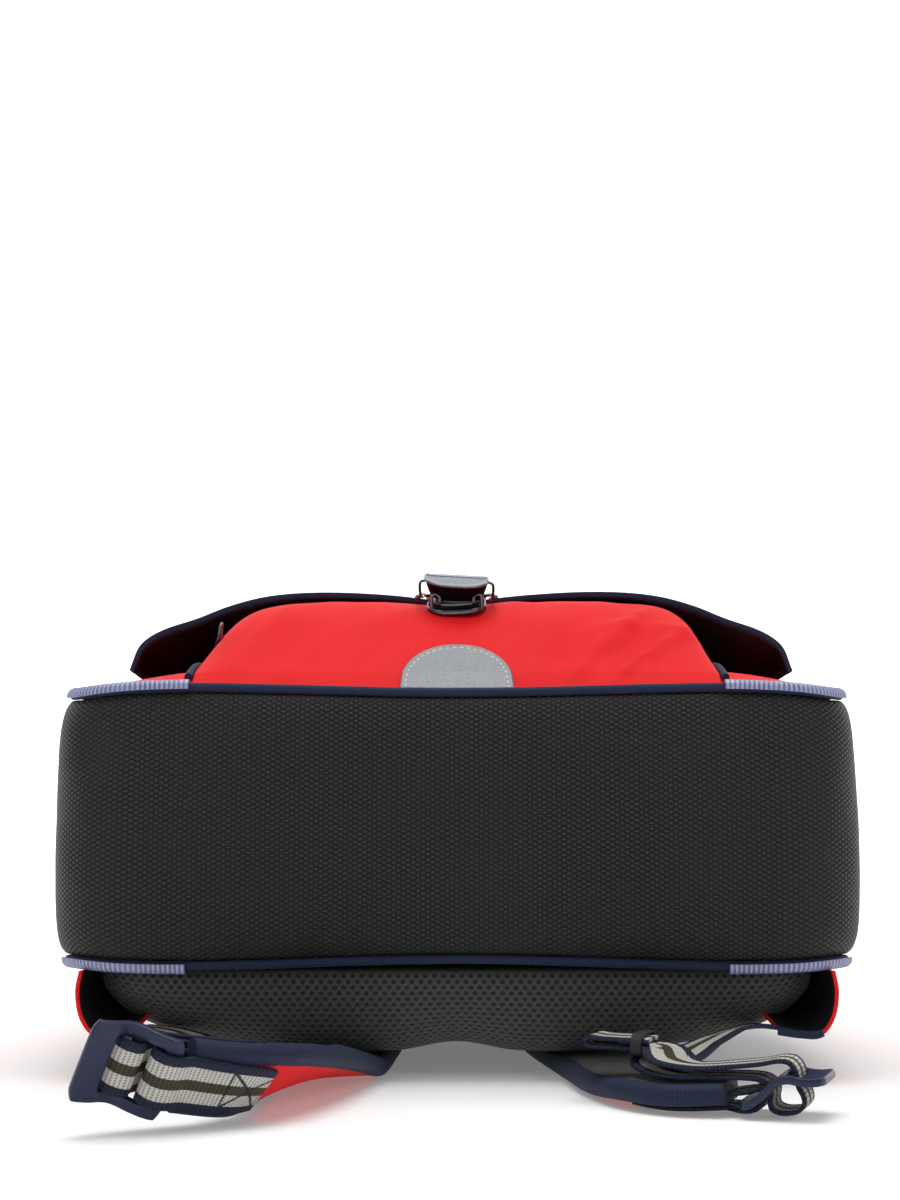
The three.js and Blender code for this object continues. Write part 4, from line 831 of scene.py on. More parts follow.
def fold_height(x, y):
    """Sum of ridges: a bell across each fold line, faded past both ends."""
    start, end, wide, high = FOLDS[:, 0:2], FOLDS[:, 2:4], FOLDS[:, 4], FOLDS[:, 5]
    line = end - start
    length = np.linalg.norm(line, axis=1)
    rel_x, rel_y = x[..., None] - start[:, 0], y[..., None] - start[:, 1]
    along = (rel_x * line[:, 0] + rel_y * line[:, 1]) / length
    off = (rel_x * line[:, 1] - rel_y * line[:, 0]) / length
    off = off + 2.0 * np.sin(along / 9.0)
    past = np.maximum(0, np.maximum(-along, along - length))
    return (1.5 * high * np.exp(-((off / wide) ** 2) - (past / 10) ** 2)).sum(-1)


u, v = np.meshgrid(np.linspace(0, 1, 235), np.linspace(0, 1, 200))
across = crowded(u)
pocket_y = POCKET_BASE + POCKET_HEIGHT * (0.5 - 0.5 * np.cos(v * np.pi))
pocket_x = across * pocket_half(pocket_y)
rim_calm = np.clip((1 - np.abs(across)) / 0.08, 0, 1) * np.clip((pocket_y - POCKET_BASE) / 6, 0, 1)
loose = rim_calm * (fold_height(pocket_x, pocket_y) + 0.45 * ripple(pocket_x, pocket_y, 58.0)
                    + 0.22 * ripple(pocket_x, pocket_y, 24.0, 1.7))
under_patch = np.exp(-((pocket_x / 34) ** 4) - ((pocket_y - 20) / 30) ** 4)
pocket_points = pocket_point(across, pocket_y, loose * (1 - under_patch))
pocket_uv = np.stack([pocket_x, run_of(pocket_points, 0)], -1)
pocket = faced(grid_piece("pocket_shell", pocket_points, pocket_uv), (0, 0, 1))
finished(thicken(pocket, POCKET_WALL), "bag", RED, replaces=("front_pocket",), slot="red_fabric")


# %% Pocket trim
def pocket_normal(x, y):
    """Unit normal of the pocket from differences one millimetre apart."""
    half = pocket_half(y)
    side = pocket_point((x + 1) / half, y) - pocket_point((x - 1) / half, y)
    rise = pocket_point(x / pocket_half(y + 1), y + 1) - pocket_point(x / pocket_half(y - 1), y - 1)
    return unit(np.cross(side, rise))


def over_pocket(x, y, gap):
    """Point a gap off the pocket along its normal."""
    return pocket_point(x / pocket_half(y), y) + gap * pocket_normal(x, y)


def sweep(name, path, radius, sides=12, up=(0, 0, 1)):
    """A round bar along a path: each ring lies across the path's heading, its second axis as near to up
    as it can be."""
    heading = unit(np.gradient(path, axis=0))
    side = unit(np.cross(heading, np.broadcast_to(up, heading.shape)))
    above = np.cross(side, heading)
    turn = np.linspace(0, 2 * np.pi, sides + 1)
    radii = np.broadcast_to(radius, len(path))[:, None, None]
    around = np.cos(turn)[:, None] * side[:, None] + np.sin(turn)[:, None] * above[:, None]
    ring = path[:, None] + radii * around
    run = run_of(path, 0)
    uv = np.stack(np.broadcast_arrays(turn * np.max(radius), run[:, None]), -1)
    return recalculated(grid_piece(name, ring[:, :-1], uv, ring=True, caps=True))


PIPING_OFF = POCKET_PIPING + FIT + 0.3
side_y = np.linspace(POCKET_BASE + 4, POCKET_END - POCKET_CORNER, 60)
corner_turn = np.linspace(0, np.pi / 2, 16)[1:]
corner_out = POCKET_CORNER + PIPING_OFF
foot_x = np.concatenate([np.full(60, POCKET_WIDTH / 2 + PIPING_OFF),
                         POCKET_WIDTH / 2 - POCKET_CORNER + corner_out * np.cos(corner_turn)])
foot_y = np.concatenate([side_y, POCKET_END - POCKET_CORNER + corner_out * np.sin(corner_turn)])
top_x = np.linspace(foot_x[-1], -foot_x[-1], 40)[1:-1]
foot_x = np.concatenate([foot_x, top_x, -foot_x[::-1]])
foot_y = np.concatenate([foot_y, np.full(38, foot_y[-1]), foot_y[::-1]])
foot = np.stack([foot_x, foot_y, Z_FRONT + crown(foot_x, foot_y) + PIPING_OFF], -1)
edge_cord = sweep("pocket_edge_piping", foot, POCKET_PIPING)
finished(edge_cord, "bag", NAVY, replaces=("pocket_piping",), slot="navy_fabric")

# %% [markdown]
# The reflective patch is a half ellipse sewn over the pocket's lower edge. Its dashes follow its rim, so
# each vertex carries its distance from the rim and its run along it.

# %% Reflective patch
up_share = np.linspace(0, 1, 50)[:, None] * 0.995
across_patch = np.linspace(-1, 1, 70)[None, :]
half_patch = PATCH_WIDTH / 2 * np.sqrt(1 - up_share ** 2.4)
patch_x = across_patch * half_patch
patch_y = POCKET_BASE - 1.5 + up_share * (PATCH_HEIGHT * 0.8 + 3.5) + 0 * patch_x
patch_points = over_pocket(patch_x, patch_y, FIT + PATCH_WALL + 0.2)
patch = faced(grid_piece("reflector", patch_points, patch_points[..., :2]), (0, 0, 1))
scale_out = np.sqrt((patch_x / (PATCH_WIDTH / 2)) ** 2 + (up_share ** 2.4))
rim_distance = (1 - scale_out) * PATCH_WIDTH / 2
rim_run = np.arctan2(up_share * PATCH_HEIGHT + 0 * patch_x, patch_x) * PATCH_WIDTH / 2
for name, values in (("rim", rim_distance), ("rim_run", rim_run)):
    layer = patch.data.attributes.new(name, "FLOAT", "POINT")
    layer.data.foreach_set("value", values.astype(np.float32).ravel())
finished(thicken(patch, PATCH_WALL), "bag", SILVER, replaces=("reflector_patch",), slot="reflective_fabric")


# %% Zip and pull
ZIP_CENTRE_Y = POCKET_BASE + POCKET_HEIGHT * 0.45
ZIP_STEPS, ZIP_START, ZIP_END = 900, 196, -6
TOOTH_RISE, TOOTH_HALF, TOOTH_STEP = 0.55, 1.3, 1.1


def zip_line(turn, level):
    """Where the pocket's lift falls to a level, found by halving along each ray."""
    inside, outside = np.zeros_like(turn), np.full_like(turn, POCKET_WIDTH)
    for _ in range(24):
        reach = (inside + outside) / 2
        x, y = reach * np.cos(turn), ZIP_CENTRE_Y + reach * np.sin(turn)
        half = pocket_half(np.minimum(y, POCKET_END - 0.01))
        within = (y < POCKET_END) & (np.abs(x) < half) & (pocket_lift(x / half, y) > level)
        inside, outside = np.where(within, reach, inside), np.where(within, outside, reach)
    return inside * np.cos(turn), ZIP_CENTRE_Y + inside * np.sin(turn)


lanes = np.linspace(-1, 1, 13)
zip_rays = np.radians(np.linspace(ZIP_START, ZIP_END, ZIP_STEPS))
zip_turn, zip_lanes = np.meshgrid(zip_rays, lanes, indexing="ij")
steep = np.sqrt(1 - pocket_normal(*zip_line(zip_turn[:, 6], ZIP_LEVEL))[:, 2:] ** 2)
level_step = ZIP_WIDTH / 2 * steep / (POCKET_DEPTH - POCKET_RIM)
from_end = 1 - np.abs(np.linspace(-1, 1, ZIP_STEPS))
narrow = lerp(0.3, 1.0, np.clip(from_end / 0.12, 0, 1))[:, None]
zip_x, zip_y = zip_line(zip_turn, ZIP_LEVEL - zip_lanes * level_step * narrow)
zip_run = run_of(over_pocket(zip_x[:, 6], zip_y[:, 6], 0), 0)
tooth_row = TOOTH_RISE * np.exp(-((lanes * ZIP_WIDTH / 2 / TOOTH_HALF) ** 4))
teeth = tooth_row * (0.6 + 0.4 * np.cos(zip_run[:, None] * np.pi / TOOTH_STEP))
zip_points = over_pocket(zip_x, zip_y, 0)
zip_points = zip_points + (FIT + ZIP_WALL + 0.2 + teeth)[..., None] * pocket_normal(zip_x, zip_y)
zip_uv = np.stack(np.broadcast_arrays(lanes * ZIP_WIDTH / 2, zip_run[:, None]), -1)
zip_tape = thicken(faced(grid_piece("zip_tape", zip_points, zip_uv), (0, 0, 1)), ZIP_WALL * 0.8)
finished(zip_tape, "bag", NAVY, replaces=("pocket_zip",), slot="navy_fabric")

pull_low, pull_high = drawn_box("zip_pull")
pull_middle = (pull_low + pull_high) / 2
loop_turn = np.linspace(0, 2 * np.pi, 49)[:-1]
loop = pull_middle + np.stack([0.5 * np.sin(loop_turn), 3.4 * np.cos(loop_turn), 3.8 * np.sin(loop_turn)], -1)


def ring_sweep(name, path, radius, sides=10):
    """A closed ring of wire: like sweep, but the last ring meets the first."""
    heading = unit(np.roll(path, -1, 0) - np.roll(path, 1, 0))
    middle = path.mean(0)
    side = unit(path - middle)
    above = np.cross(side, heading)
    turn = np.linspace(0, 2 * np.pi, sides + 1)[:-1]
    around = np.cos(turn)[:, None] * side[:, None] + np.sin(turn)[:, None] * above[:, None]
    ring = path[:, None] + radius * around
    faces, _ = joined_faces(*ring.shape[:2])
    return recalculated(smooth_object(name, ring.reshape(-1, 3), faces.tolist(), np.zeros((faces.size, 2))))


finished(ring_sweep("zip_loop", loop, 0.75), "bag", METAL, replaces=("zip_pull",), slot="dark_metal")


# %% [markdown]
# ## The flap
#
# One stiff sheet: it leaves the back's top edge, stands up past the mouth, bends over and lies over the
# front. Two lines, one up its middle and one up its side edge, are blended across it, so the front edge
# becomes the arch of the photograph. It is red outside, grained black inside, with a navy bound edge.

# %% Smooth lines through stations
def smooth_line(points, shares):
    """Centripetal Catmull-Rom line through the points, at shares from 0 to 1 of its stations."""
    p = np.asarray(points, float)
    q = np.concatenate([[2 * p[0] - p[1]], p, [2 * p[-1] - p[-2]]])
    place_on = np.clip(np.asarray(shares, float), 0, 1) * (len(p) - 1)
    k = np.minimum(place_on.astype(int), len(p) - 2)
    w = (place_on - k)[:, None]
    a, b, c, d = q[k], q[k + 1], q[k + 2], q[k + 3]
    spans = ((a, b), (b, c), (c, d))
    gap = [np.maximum(np.sqrt(np.linalg.norm(n - m, axis=1)), 1e-4)[:, None] for m, n in spans]
    start = ((b - a) / gap[0] - (c - a) / (gap[0] + gap[1]) + (c - b) / gap[1]) * gap[1]
    end = ((c - b) / gap[1] - (d - b) / (gap[1] + gap[2]) + (d - c) / gap[2]) * gap[1]
    return b + start * w + (3 * (c - b) - 2 * start - end) * w ** 2 + (2 * (b - c) + start + end) * w ** 3


# columns: how far down the front and how deep the middle line is, the same for the side line, both rises
FLAP_ROWS = np.array([
    [-0.0153, -0.004, -0.0153, -0.004, 0, 0],
    [-0.022, 0.06, -0.021, 0.06, 0, 0],
    [-0.044, 0.4, -0.036, 0.4, 0, 0],
    [-0.046, 0.84, -0.036, 0.82, 0, 0],
    [-0.036, 1, -0.028, 1, 0.16, 0.02],
    [0.02, 1, 0.01, 1, 0.5, 0.16],
    [0.14, 1, 0.12, 1, 0.78, 0.22],
    [0.34, 1, 0.31, 1, 0.97, 0.26],
    [0.58, 1, 0.49, 1, 1, 0.28],
    [0.8, 1, 0.66, 1, 1, 0.3],
    [1, 1, 0.81, 1, 0.985, 0.32],
])
FLAP_RUN = BAG_HEIGHT - FLAP_EDGE


def flap_line(down, depth, rise):
    """Stations of one of the flap's two guide lines, in its own upright plane."""
    z = Z_BACK + BODY_DEPTH * depth + FLAP_RISE * rise
    return np.stack([0 * down, BAG_HEIGHT - FLAP_RUN * down, z], -1)


MIDDLE_LINE = flap_line(FLAP_ROWS[:, 0], FLAP_ROWS[:, 1], FLAP_ROWS[:, 4])
SIDE_LINE = flap_line(FLAP_ROWS[:, 2], FLAP_ROWS[:, 3], FLAP_ROWS[:, 5])


# columns: distance from the middle as a share of half the width, and how far the arch has risen there
ARCH_SHOULDER = np.array([[0, 1], [0.36, 0.995], [0.56, 0.94], [0.68, 0.83], [0.78, 0.68], [0.88, 0.55],
                          [0.95, 0.38], [1, 0.02]])
FLAP_ASIDE, FLAP_NARROW = 2.8, 4.0


def flap_surface(across, shares):
    """Grid of the flap: side and middle lines blended across by a round arch, which turns into one with
    shoulders towards the front edge."""
    away = np.abs(across)
    line = smooth_line(ARCH_SHOULDER, np.linspace(0, 1, 200))
    shouldered = np.interp(away, line[:, 0], line[:, 1])[None, :]
    round_arch = (np.maximum(0, 1 - away ** 4) ** 0.6)[None, :]
    front = np.clip((shares - 0.45) / 0.3, 0, 1)[:, None]
    arch = lerp(round_arch, shouldered, front)[..., None]
    middle, side = smooth_line(MIDDLE_LINE, shares)[:, None], smooth_line(SIDE_LINE, shares)[:, None]
    points = side * (1 - arch) + middle * arch
    points[..., 0] = across * (FLAP_WIDTH / 2 - FLAP_NARROW * front) + FLAP_ASIDE * front
    return points


flap_across = crowded(np.linspace(0, 1, 150))
flap_shares = np.linspace(0, 1, 220)
flap_points = flap_surface(flap_across, flap_shares)
edge_zone = np.clip((flap_shares - 0.75) / 0.25, 0, 1)[:, None]
from_middle = np.abs(flap_points[..., 0])
flap_points[..., 2] += edge_zone * (0.5 * ripple(flap_points[..., 0], flap_points[..., 1], 120.0, 0.6)
                                    + 4.0 * np.exp(-(((from_middle - 95) / 60) ** 2))
                                    - 2.4 * np.exp(-((from_middle / 22) ** 2)))
flap_uv = np.stack(np.broadcast_arrays(flap_points[..., 0], run_of(flap_points, 0)), -1)
flap = faced(grid_piece("flap_shell", flap_points, flap_uv), (0, 0.4, 1))
flap.data.materials.append(RED.material)
flap.data.materials.append(LINING.material)
thicken(flap, FLAP_WALL * 0.8, inner_slot=1)
finished(flap, "bag", RED, LINING, replaces=("flap",), slot="navy_fabric")

edge_line = np.concatenate([flap_points[:, 0], flap_points[-1, 1:-1], flap_points[::-1, -1]])
edge_in = np.concatenate([flap_points[:, 1] - flap_points[:, 0],
                          flap_points[-2, 1:-1] - flap_points[-1, 1:-1],
                          (flap_points[:, -2] - flap_points[:, -1])[::-1]])
edge_run = run_of(edge_line, 0)
even = np.linspace(0, edge_run[-1], 420)
edge_line = np.stack([np.interp(even, edge_run, edge_line[:, k]) for k in range(3)], -1)
inward = unit(np.stack([np.interp(even, edge_run, unit(edge_in)[:, k]) for k in range(3)], -1))
for _ in range(6):
    inward[1:-1] = unit(inward[:-2] + inward[1:-1] + inward[2:])
edge_heading = unit(np.gradient(edge_line, axis=0))
edge_up = unit(np.cross(edge_heading, inward))
TAPE_REACH, TAPE_LIP, TAPE_HALF_WALL = 6.0, 1.0, 1.65
tape_turn = np.linspace(0, 2 * np.pi, 25)
reach = np.where(np.cos(tape_turn) > 0, TAPE_REACH, TAPE_LIP) * boxed(np.cos(tape_turn), 0.55)
rise = TAPE_HALF_WALL * boxed(np.sin(tape_turn), 0.7)
middle_wall = edge_line - edge_up * np.where((edge_up[:, 2:] + edge_up[:, 1:2]) > 0, 1, -1) * FLAP_WALL * 0.4
tape_points = middle_wall[:, None] + reach[:, None] * inward[:, None] + rise[:, None] * edge_up[:, None]
tape_uv = np.stack(np.broadcast_arrays(tape_turn * 3.0, even[:, None]), -1)
flap_tape = recalculated(grid_piece("flap_edge_tape", tape_points[:, :-1], tape_uv, ring=True, caps=True))
finished(flap_tape, "bag", NAVY, slot="navy_fabric")
flap_seam = middle_wall + 4.6 * inward

# %% [markdown]
# ## The handle
#
# It stands on the top of the flap where the photograph doesn't see it: a padded tube in navy cloth between
# two round plates.

# %% Handle
foot_y_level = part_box("handle_anchor_left")[1].y * 1000 - SHIFT[1]
HANDLE_LINE = np.array([[-1, 0], [-1, 0.3], [-0.93, 0.62], [-0.74, 0.87], [-0.36, 0.99], [0, 1],
                        [0.36, 0.99], [0.74, 0.87], [0.93, 0.62], [1, 0.3], [1, 0]])
handle_stations = np.stack([HANDLE_LINE[:, 0] * HANDLE_SPAN / 2,
                            foot_y_level + FIT + HANDLE_LINE[:, 1] * HANDLE_RISE,
                            np.full(len(HANDLE_LINE), MIDDLE_Z)], -1)
handle_path = smooth_line(handle_stations, np.linspace(0, 1, 160))
swell = HANDLE_RADIUS * (0.78 + 0.2 * np.sin(np.pi * np.linspace(0, 1, 160)) ** 0.5)
swell = swell * (1 + 0.012 * np.sin(np.linspace(0, 120, 160)))
finished(sweep("handle_grip", handle_path, swell, 24), "bag", NAVY, replaces=("handle",), slot="navy_fabric")

# columns: radius and height of a plate's outline, from the middle of its underside to the middle of its top
ANCHOR_OUTLINE = np.array([[0.02, 0.0], [10.4, 0.0], [11, 0.5], [11, 1.8], [10.2, 2.6], [7, 3.0], [6.6, 3.3],
                           [0.02, 3.4]])
for label in ("left", "right"):
    low, high = drawn_box(f"handle_anchor_{label}")
    middle = (low + high) / 2
    radius, height = ANCHOR_OUTLINE[:, :1], ANCHOR_OUTLINE[:, 1:]
    turn = np.linspace(0, 2 * np.pi, 49)
    plate = np.stack([middle[0] + radius * np.cos(turn), low[1] + height + 0 * turn,
                      middle[2] + radius * np.sin(turn)], -1)
    plate_uv = np.stack(np.broadcast_arrays(turn * 11, radius), -1)
    disc = recalculated(grid_piece(f"handle_plate_{label}", plate[:, :-1], plate_uv, ring=True, caps=True))
    finished(disc, "bag", NAVY, replaces=(f"handle_anchor_{label}",), slot="navy_fabric")


# %% [markdown]
# ## The padded back
#
# The pad is a foam cushion under air mesh with a shallow channel down the spine. It starts as a crowned form
# with a flat top, is remeshed evenly, and Blender's cloth inflates it for twenty frames; each point is then
# kept within two millimetres of where it began. Its weave needs a UV map, which the remesh takes away, so
# distances over the pad are laid on afterwards: X across, and the run down the near end and along the
# underside.

# %% Pad form
PAD_HALF = SEAM_HALF - PAD_INSET + 4
PAD_END = BAG_HEIGHT - PAD_TOP_INSET


def pad_depth(across, y, x):
    """Depth of the pad under its flat top: rounded sides and ends, less the spine's channel."""
    near = np.clip((y - PAD_BASE) / PAD_ROUND, 0, 1)
    far = np.clip((PAD_END - y) / PAD_ROUND, 0, 1)
    ends = np.sqrt(1 - (1 - near) ** 2) * np.sqrt(1 - (1 - far) ** 2)
    side = np.sqrt(np.maximum(0, 1 - np.abs(across) ** 3.2))
    spine = SPINE_DEPTH * np.exp(-((x / SPINE_WIDTH) ** 2))
    return PAD_RIM + (PAD_THICKNESS - PAD_RIM - spine) * side * ends


def pad_form():
    u, v = np.meshgrid(crowded(np.linspace(0, 1, 121)), np.linspace(0, 1, 101))
    y = PAD_BASE + (PAD_END - PAD_BASE) * (0.5 - 0.5 * np.cos(v * np.pi))
    turn = np.clip(1 - (y - PAD_BASE) / CORNER, 0, 1)
    x = u * (PAD_HALF - CORNER * (1 - np.sqrt(1 - turn ** 2)))
    under = np.stack([x, y, PAD_TOP_Z - pad_depth(u, y, x)], -1)
    top = np.stack([x, y, np.full_like(x, PAD_TOP_Z)], -1)
    ring = np.concatenate([top, under[:, ::-1]], 1)
    return recalculated(grid_piece("pad_cushion", ring, np.zeros((101, 243, 2)), ring=True, caps=True))


def inflate(piece, voxel, pressure, most):
    """Voxel remesh, cloth pressure for 20 frames without gravity, each point kept within most mm."""
    remesh = piece.modifiers.new("even", "REMESH")
    remesh.mode, remesh.voxel_size = "VOXEL", voxel / 1000
    apply_modifiers(piece)
    before = np.zeros(len(piece.data.vertices) * 3, np.float32)
    piece.data.vertices.foreach_get("co", before)
    cloth = piece.modifiers.new("cloth", "CLOTH")
    cloth.settings.use_pressure = True
    cloth.settings.uniform_pressure_force = pressure
    cloth.settings.effector_weights.gravity = 0
    cloth.settings.quality = 5
    scene = bpy.context.scene
    for step in range(1, 21):
        scene.frame_set(step)
    apply_modifiers(piece)
    scene.frame_set(1)
    after = np.zeros_like(before)
    piece.data.vertices.foreach_get("co", after)
    move = (after - before).reshape(-1, 3)
    length = np.linalg.norm(move, axis=1, keepdims=True)
    kept = before.reshape(-1, 3) + move * np.minimum(1, most / 1000 / np.maximum(length, 1e-9))
    piece.data.vertices.foreach_set("co", kept.astype(np.float32).ravel())
    return piece


pad = pad_form()
inflate(pad, voxel=5.0, pressure=4.0, most=2.0)
subsurf = pad.modifiers.new("smooth", "SUBSURF")
subsurf.levels = subsurf.render_levels = 1
apply_modifiers(pad)
co = np.zeros(len(pad.data.vertices) * 3, np.float32)
pad.data.vertices.foreach_get("co", co)
co = co.reshape(-1, 3) * 1000 - SHIFT
top_side = np.minimum(co[:, 2], PAD_TOP_Z - 0.2)
co[:, 2] = np.maximum(top_side, 12.2)
pad.data.vertices.foreach_set("co", place(co).astype(np.float32).ravel())
near_turn = np.arctan2(np.maximum(0, PAD_BASE + PAD_ROUND - co[:, 1]), np.maximum(1, PAD_TOP_Z - co[:, 2]))
down = np.where(co[:, 1] < PAD_BASE + PAD_ROUND, PAD_ROUND * (np.pi / 2 - near_turn),
                PAD_ROUND * np.pi / 2 + co[:, 1] - PAD_BASE - PAD_ROUND)
loop_vertex = np.zeros(len(pad.data.loops), np.int32)
pad.data.loops.foreach_get("vertex_index", loop_vertex)
while pad.data.uv_layers:
    pad.data.uv_layers.remove(pad.data.uv_layers[0])
pad_uv = pad.data.uv_layers.new(name="UVMap")
pad_uv.data.foreach_set("uv", (np.stack([co[:, 0], down], -1)[loop_vertex] / 1000).astype(np.float32).ravel())
pad.data.polygons.foreach_set("use_smooth", np.ones(len(pad.data.polygons), bool))
finished(pad, "bag", MESH, replaces=("back_pad",), slot="air_mesh")

# %% [markdown]
# ## The padded straps
#
# Each strap is a long pad: red cloth outside, mesh inside, both edges bound in navy tape. It is carried
# along its middle line by a frame of heading, width and normal; the section is a rounded slab whose bound
# edges stand a hair proud. One table for each strap gives the stations.

# %% Strap stations and frames
# columns: x and y as shares of the bag's width and height, lean in degrees, lift and width as shares
STRAP_ROWS = {
    "left": np.array([
        [-0.1366, 0.6061, 0, 0, 1], [-0.148, 0.3333, 0, 0, 1], [-0.156, 0.1212, 0, 0, 0.97],
        [-0.168, -0.0527, 12, 0, 0.86], [-0.189, -0.2294, 28, 0, 0.76], [-0.2073, -0.3269, 42, 0, 0.68],
        [-0.2366, -0.3875, 55, 0.1, 0.62], [-0.2829, -0.4271, 63, 0.5, 0.58]]),
    "right": np.array([
        [0.1463, 0.6061, 0, 0, 1], [0.1707, 0.3333, 0, 0, 1], [0.1951, 0.0909, 0, 0, 0.97],
        [0.2098, -0.0949, 0, 0.06, 0.9], [0.2244, -0.1898, 0, 0.26, 0.8], [0.2512, -0.2478, 0, 0.32, 0.68],
        [0.2951, -0.2663, 0, 0.46, 0.6]]),
}
ROOT_X, DROP_Y = BAG_WIDTH * 0.112, BAG_HEIGHT - 13


def strap_stations(rows, side):
    """Middle, width direction and width of each station: a fixed head under the back, then the table."""
    flat, root, root_top = STRAP_THICKNESS / 2, side * ROOT_X, Z_BACK - WALL / 2 - FIT
    head = [[root, DROP_Y, root_top], [root, DROP_Y, root_top * 0.62],
            [side * (ROOT_X + 1), DROP_Y - 7, flat + 10], [side * (ROOT_X + 2), DROP_Y - 20, flat + 2],
            [side * (ROOT_X + 3), DROP_Y - 42, flat], [side * (ROOT_X + 5), DROP_Y - 70, flat]]
    xy = rows[:, :2] * [BAG_WIDTH, BAG_HEIGHT]
    after = np.concatenate([xy[1:], xy[-1:]])
    before = np.concatenate([xy[:1], xy[:-1]])
    heading = unit(after - before)
    lean = np.radians(rows[:, 2])
    w = np.stack([-heading[:, 1] * np.cos(lean), heading[:, 0] * np.cos(lean), np.sin(lean)], -1)
    z = STRAP_WIDTH * rows[:, 4] / 2 * np.sin(lean) + flat * np.cos(lean) + rows[:, 3] * STRAP_THICKNESS
    middle = np.concatenate([head, np.concatenate([xy, z[:, None]], 1)])
    wide = np.concatenate([[[1.0, 0, 0]] * len(head), w])
    return middle, wide, np.concatenate([np.ones(len(head)), rows[:, 4]]) * STRAP_WIDTH


def frames(middle, wide, widths, steps):
    """Middle, heading, width direction, normal and width at even shares along the stations."""
    share = np.linspace(0, 1, steps + 1)
    c = smooth_line(middle, share)
    before, after = np.maximum(share - 1e-4, 0), np.minimum(share + 1e-4, 1)
    t = unit(smooth_line(middle, after) - smooth_line(middle, before))
    spot = share * (len(middle) - 1)
    k = np.minimum(spot.astype(int), len(middle) - 2)
    part = (spot - k)[:, None]
    w = wide[k] * (1 - part) + wide[k + 1] * part
    w = unit(w - t * (t * w).sum(1, keepdims=True))
    widths = np.asarray(widths, float)
    return {"c": c, "t": t, "w": w, "n": np.cross(t, w),
            "width": widths[k] * (1 - part[:, 0]) + widths[k + 1] * part[:, 0]}


EDGE_TAPE = 6.5
STITCH_SINK = 0.5


def strap_section(width):
    """Section of a strap as rows of (across, through) for each width: a rounded slab, walked once round.
    The last value says which finish each span has: 0 red face, 1 mesh face, 2 bound edge."""
    half, thick = width / 2, STRAP_THICKNESS / 2
    face = np.linspace(-1, 1, 15)
    pillow = 0.4 * (1 - face ** 4)
    bound = np.linspace(-np.pi / 2, np.pi / 2, 11)
    edge_x = np.cos(bound) ** 0.6
    edge_y = np.sin(bound)
    flat_half = half[:, None] - EDGE_TAPE
    one = np.ones_like(half)[:, None]
    outer = np.stack([flat_half * face, -one * (thick - 0.6 + pillow)], -1)
    plus = np.stack([flat_half + EDGE_TAPE * edge_x * one, one * (thick - 0.1) * edge_y], -1)
    inner = np.stack([-flat_half * face, one * (thick - 0.6 + pillow)], -1)
    minus = np.stack([-flat_half - EDGE_TAPE * edge_x * one, -one * (thick - 0.1) * edge_y], -1)
    section = np.concatenate([outer, plus, inner, minus], 1)
    spans = [0] * 14 + [2] * 12 + [1] * 14 + [2] * 12
    return section, np.array(spans)


STITCH = 3.2


def stitches(name, path):
    """A row of stitches along a path on the cloth: one thin bar whose radius swells once each 3.2 mm."""
    run = run_of(path, 0)
    even = np.arange(0, run[-1], STITCH / 6)
    fine = np.stack([np.interp(even, run, path[:, k]) for k in range(3)], -1)
    radius = 0.06 + 0.42 * np.abs(np.sin(np.pi * even / STITCH)) ** 0.45
    return finished(sweep(name, fine, radius, 6), "bag", THREAD, slot="navy_fabric")


def strap_piece(label, side):
    f = frames(*strap_stations(STRAP_ROWS[label], side), 300)
    section, spans = strap_section(f["width"])
    section = section * [1, 0.985]
    ring = f["c"][:, None] + section[..., :1] * f["w"][:, None] + section[..., 1:] * f["n"][:, None]
    steps = np.linalg.norm(np.diff(section, axis=1, append=section[:, :1]), axis=-1)
    around = np.concatenate([np.zeros((len(ring), 1)), np.cumsum(steps, 1)], 1)
    run = run_of(f["c"], 0)
    uv = np.stack(np.broadcast_arrays(around, run[:, None]), -1)
    piece = recalculated(grid_piece(f"strap_pad_{label}", ring, uv, ring=True, caps=True, slots=spans))
    finished(piece, "bag", RED, STRAP_MESH, NAVY, replaces=(f"strap_{label}",), slot="red_fabric")
    inset = f["width"][:, None] / 2 - EDGE_TAPE + 1.3
    for edge in (-1, 1):
        for face, word in ((-1, "outer"), (1, "inner")):
            path = f["c"] + edge * inset * f["w"] + face * (STRAP_THICKNESS / 2 - STITCH_SINK) * f["n"]
            stitches(f"strap_stitch_{label}_{word}_{'far' if edge > 0 else 'near'}", path[4:-3])


for side, label in SIDES:
    strap_piece(label, side)

for face, word in ((-1, "under"), (1, "outer")):
    stitches(f"flap_stitch_{word}", (flap_seam + face * 1.62 * edge_up)[6:-6])

# %% [markdown]
# ## Webbing and strap adjusters
#
# A ladder-lock adjuster is a bent plate with two slots. A short webbing, sewn to the strap's end, holds its
# near bar; the long webbing from the bag's bottom corner comes in under the strap, passes up through the
# near slot, over the middle bar, down through the far slot and back. The right one is slack and stands up
# in a loop. In the adjuster's own axes x is along the bars, y away from the strap and z out of the strap.

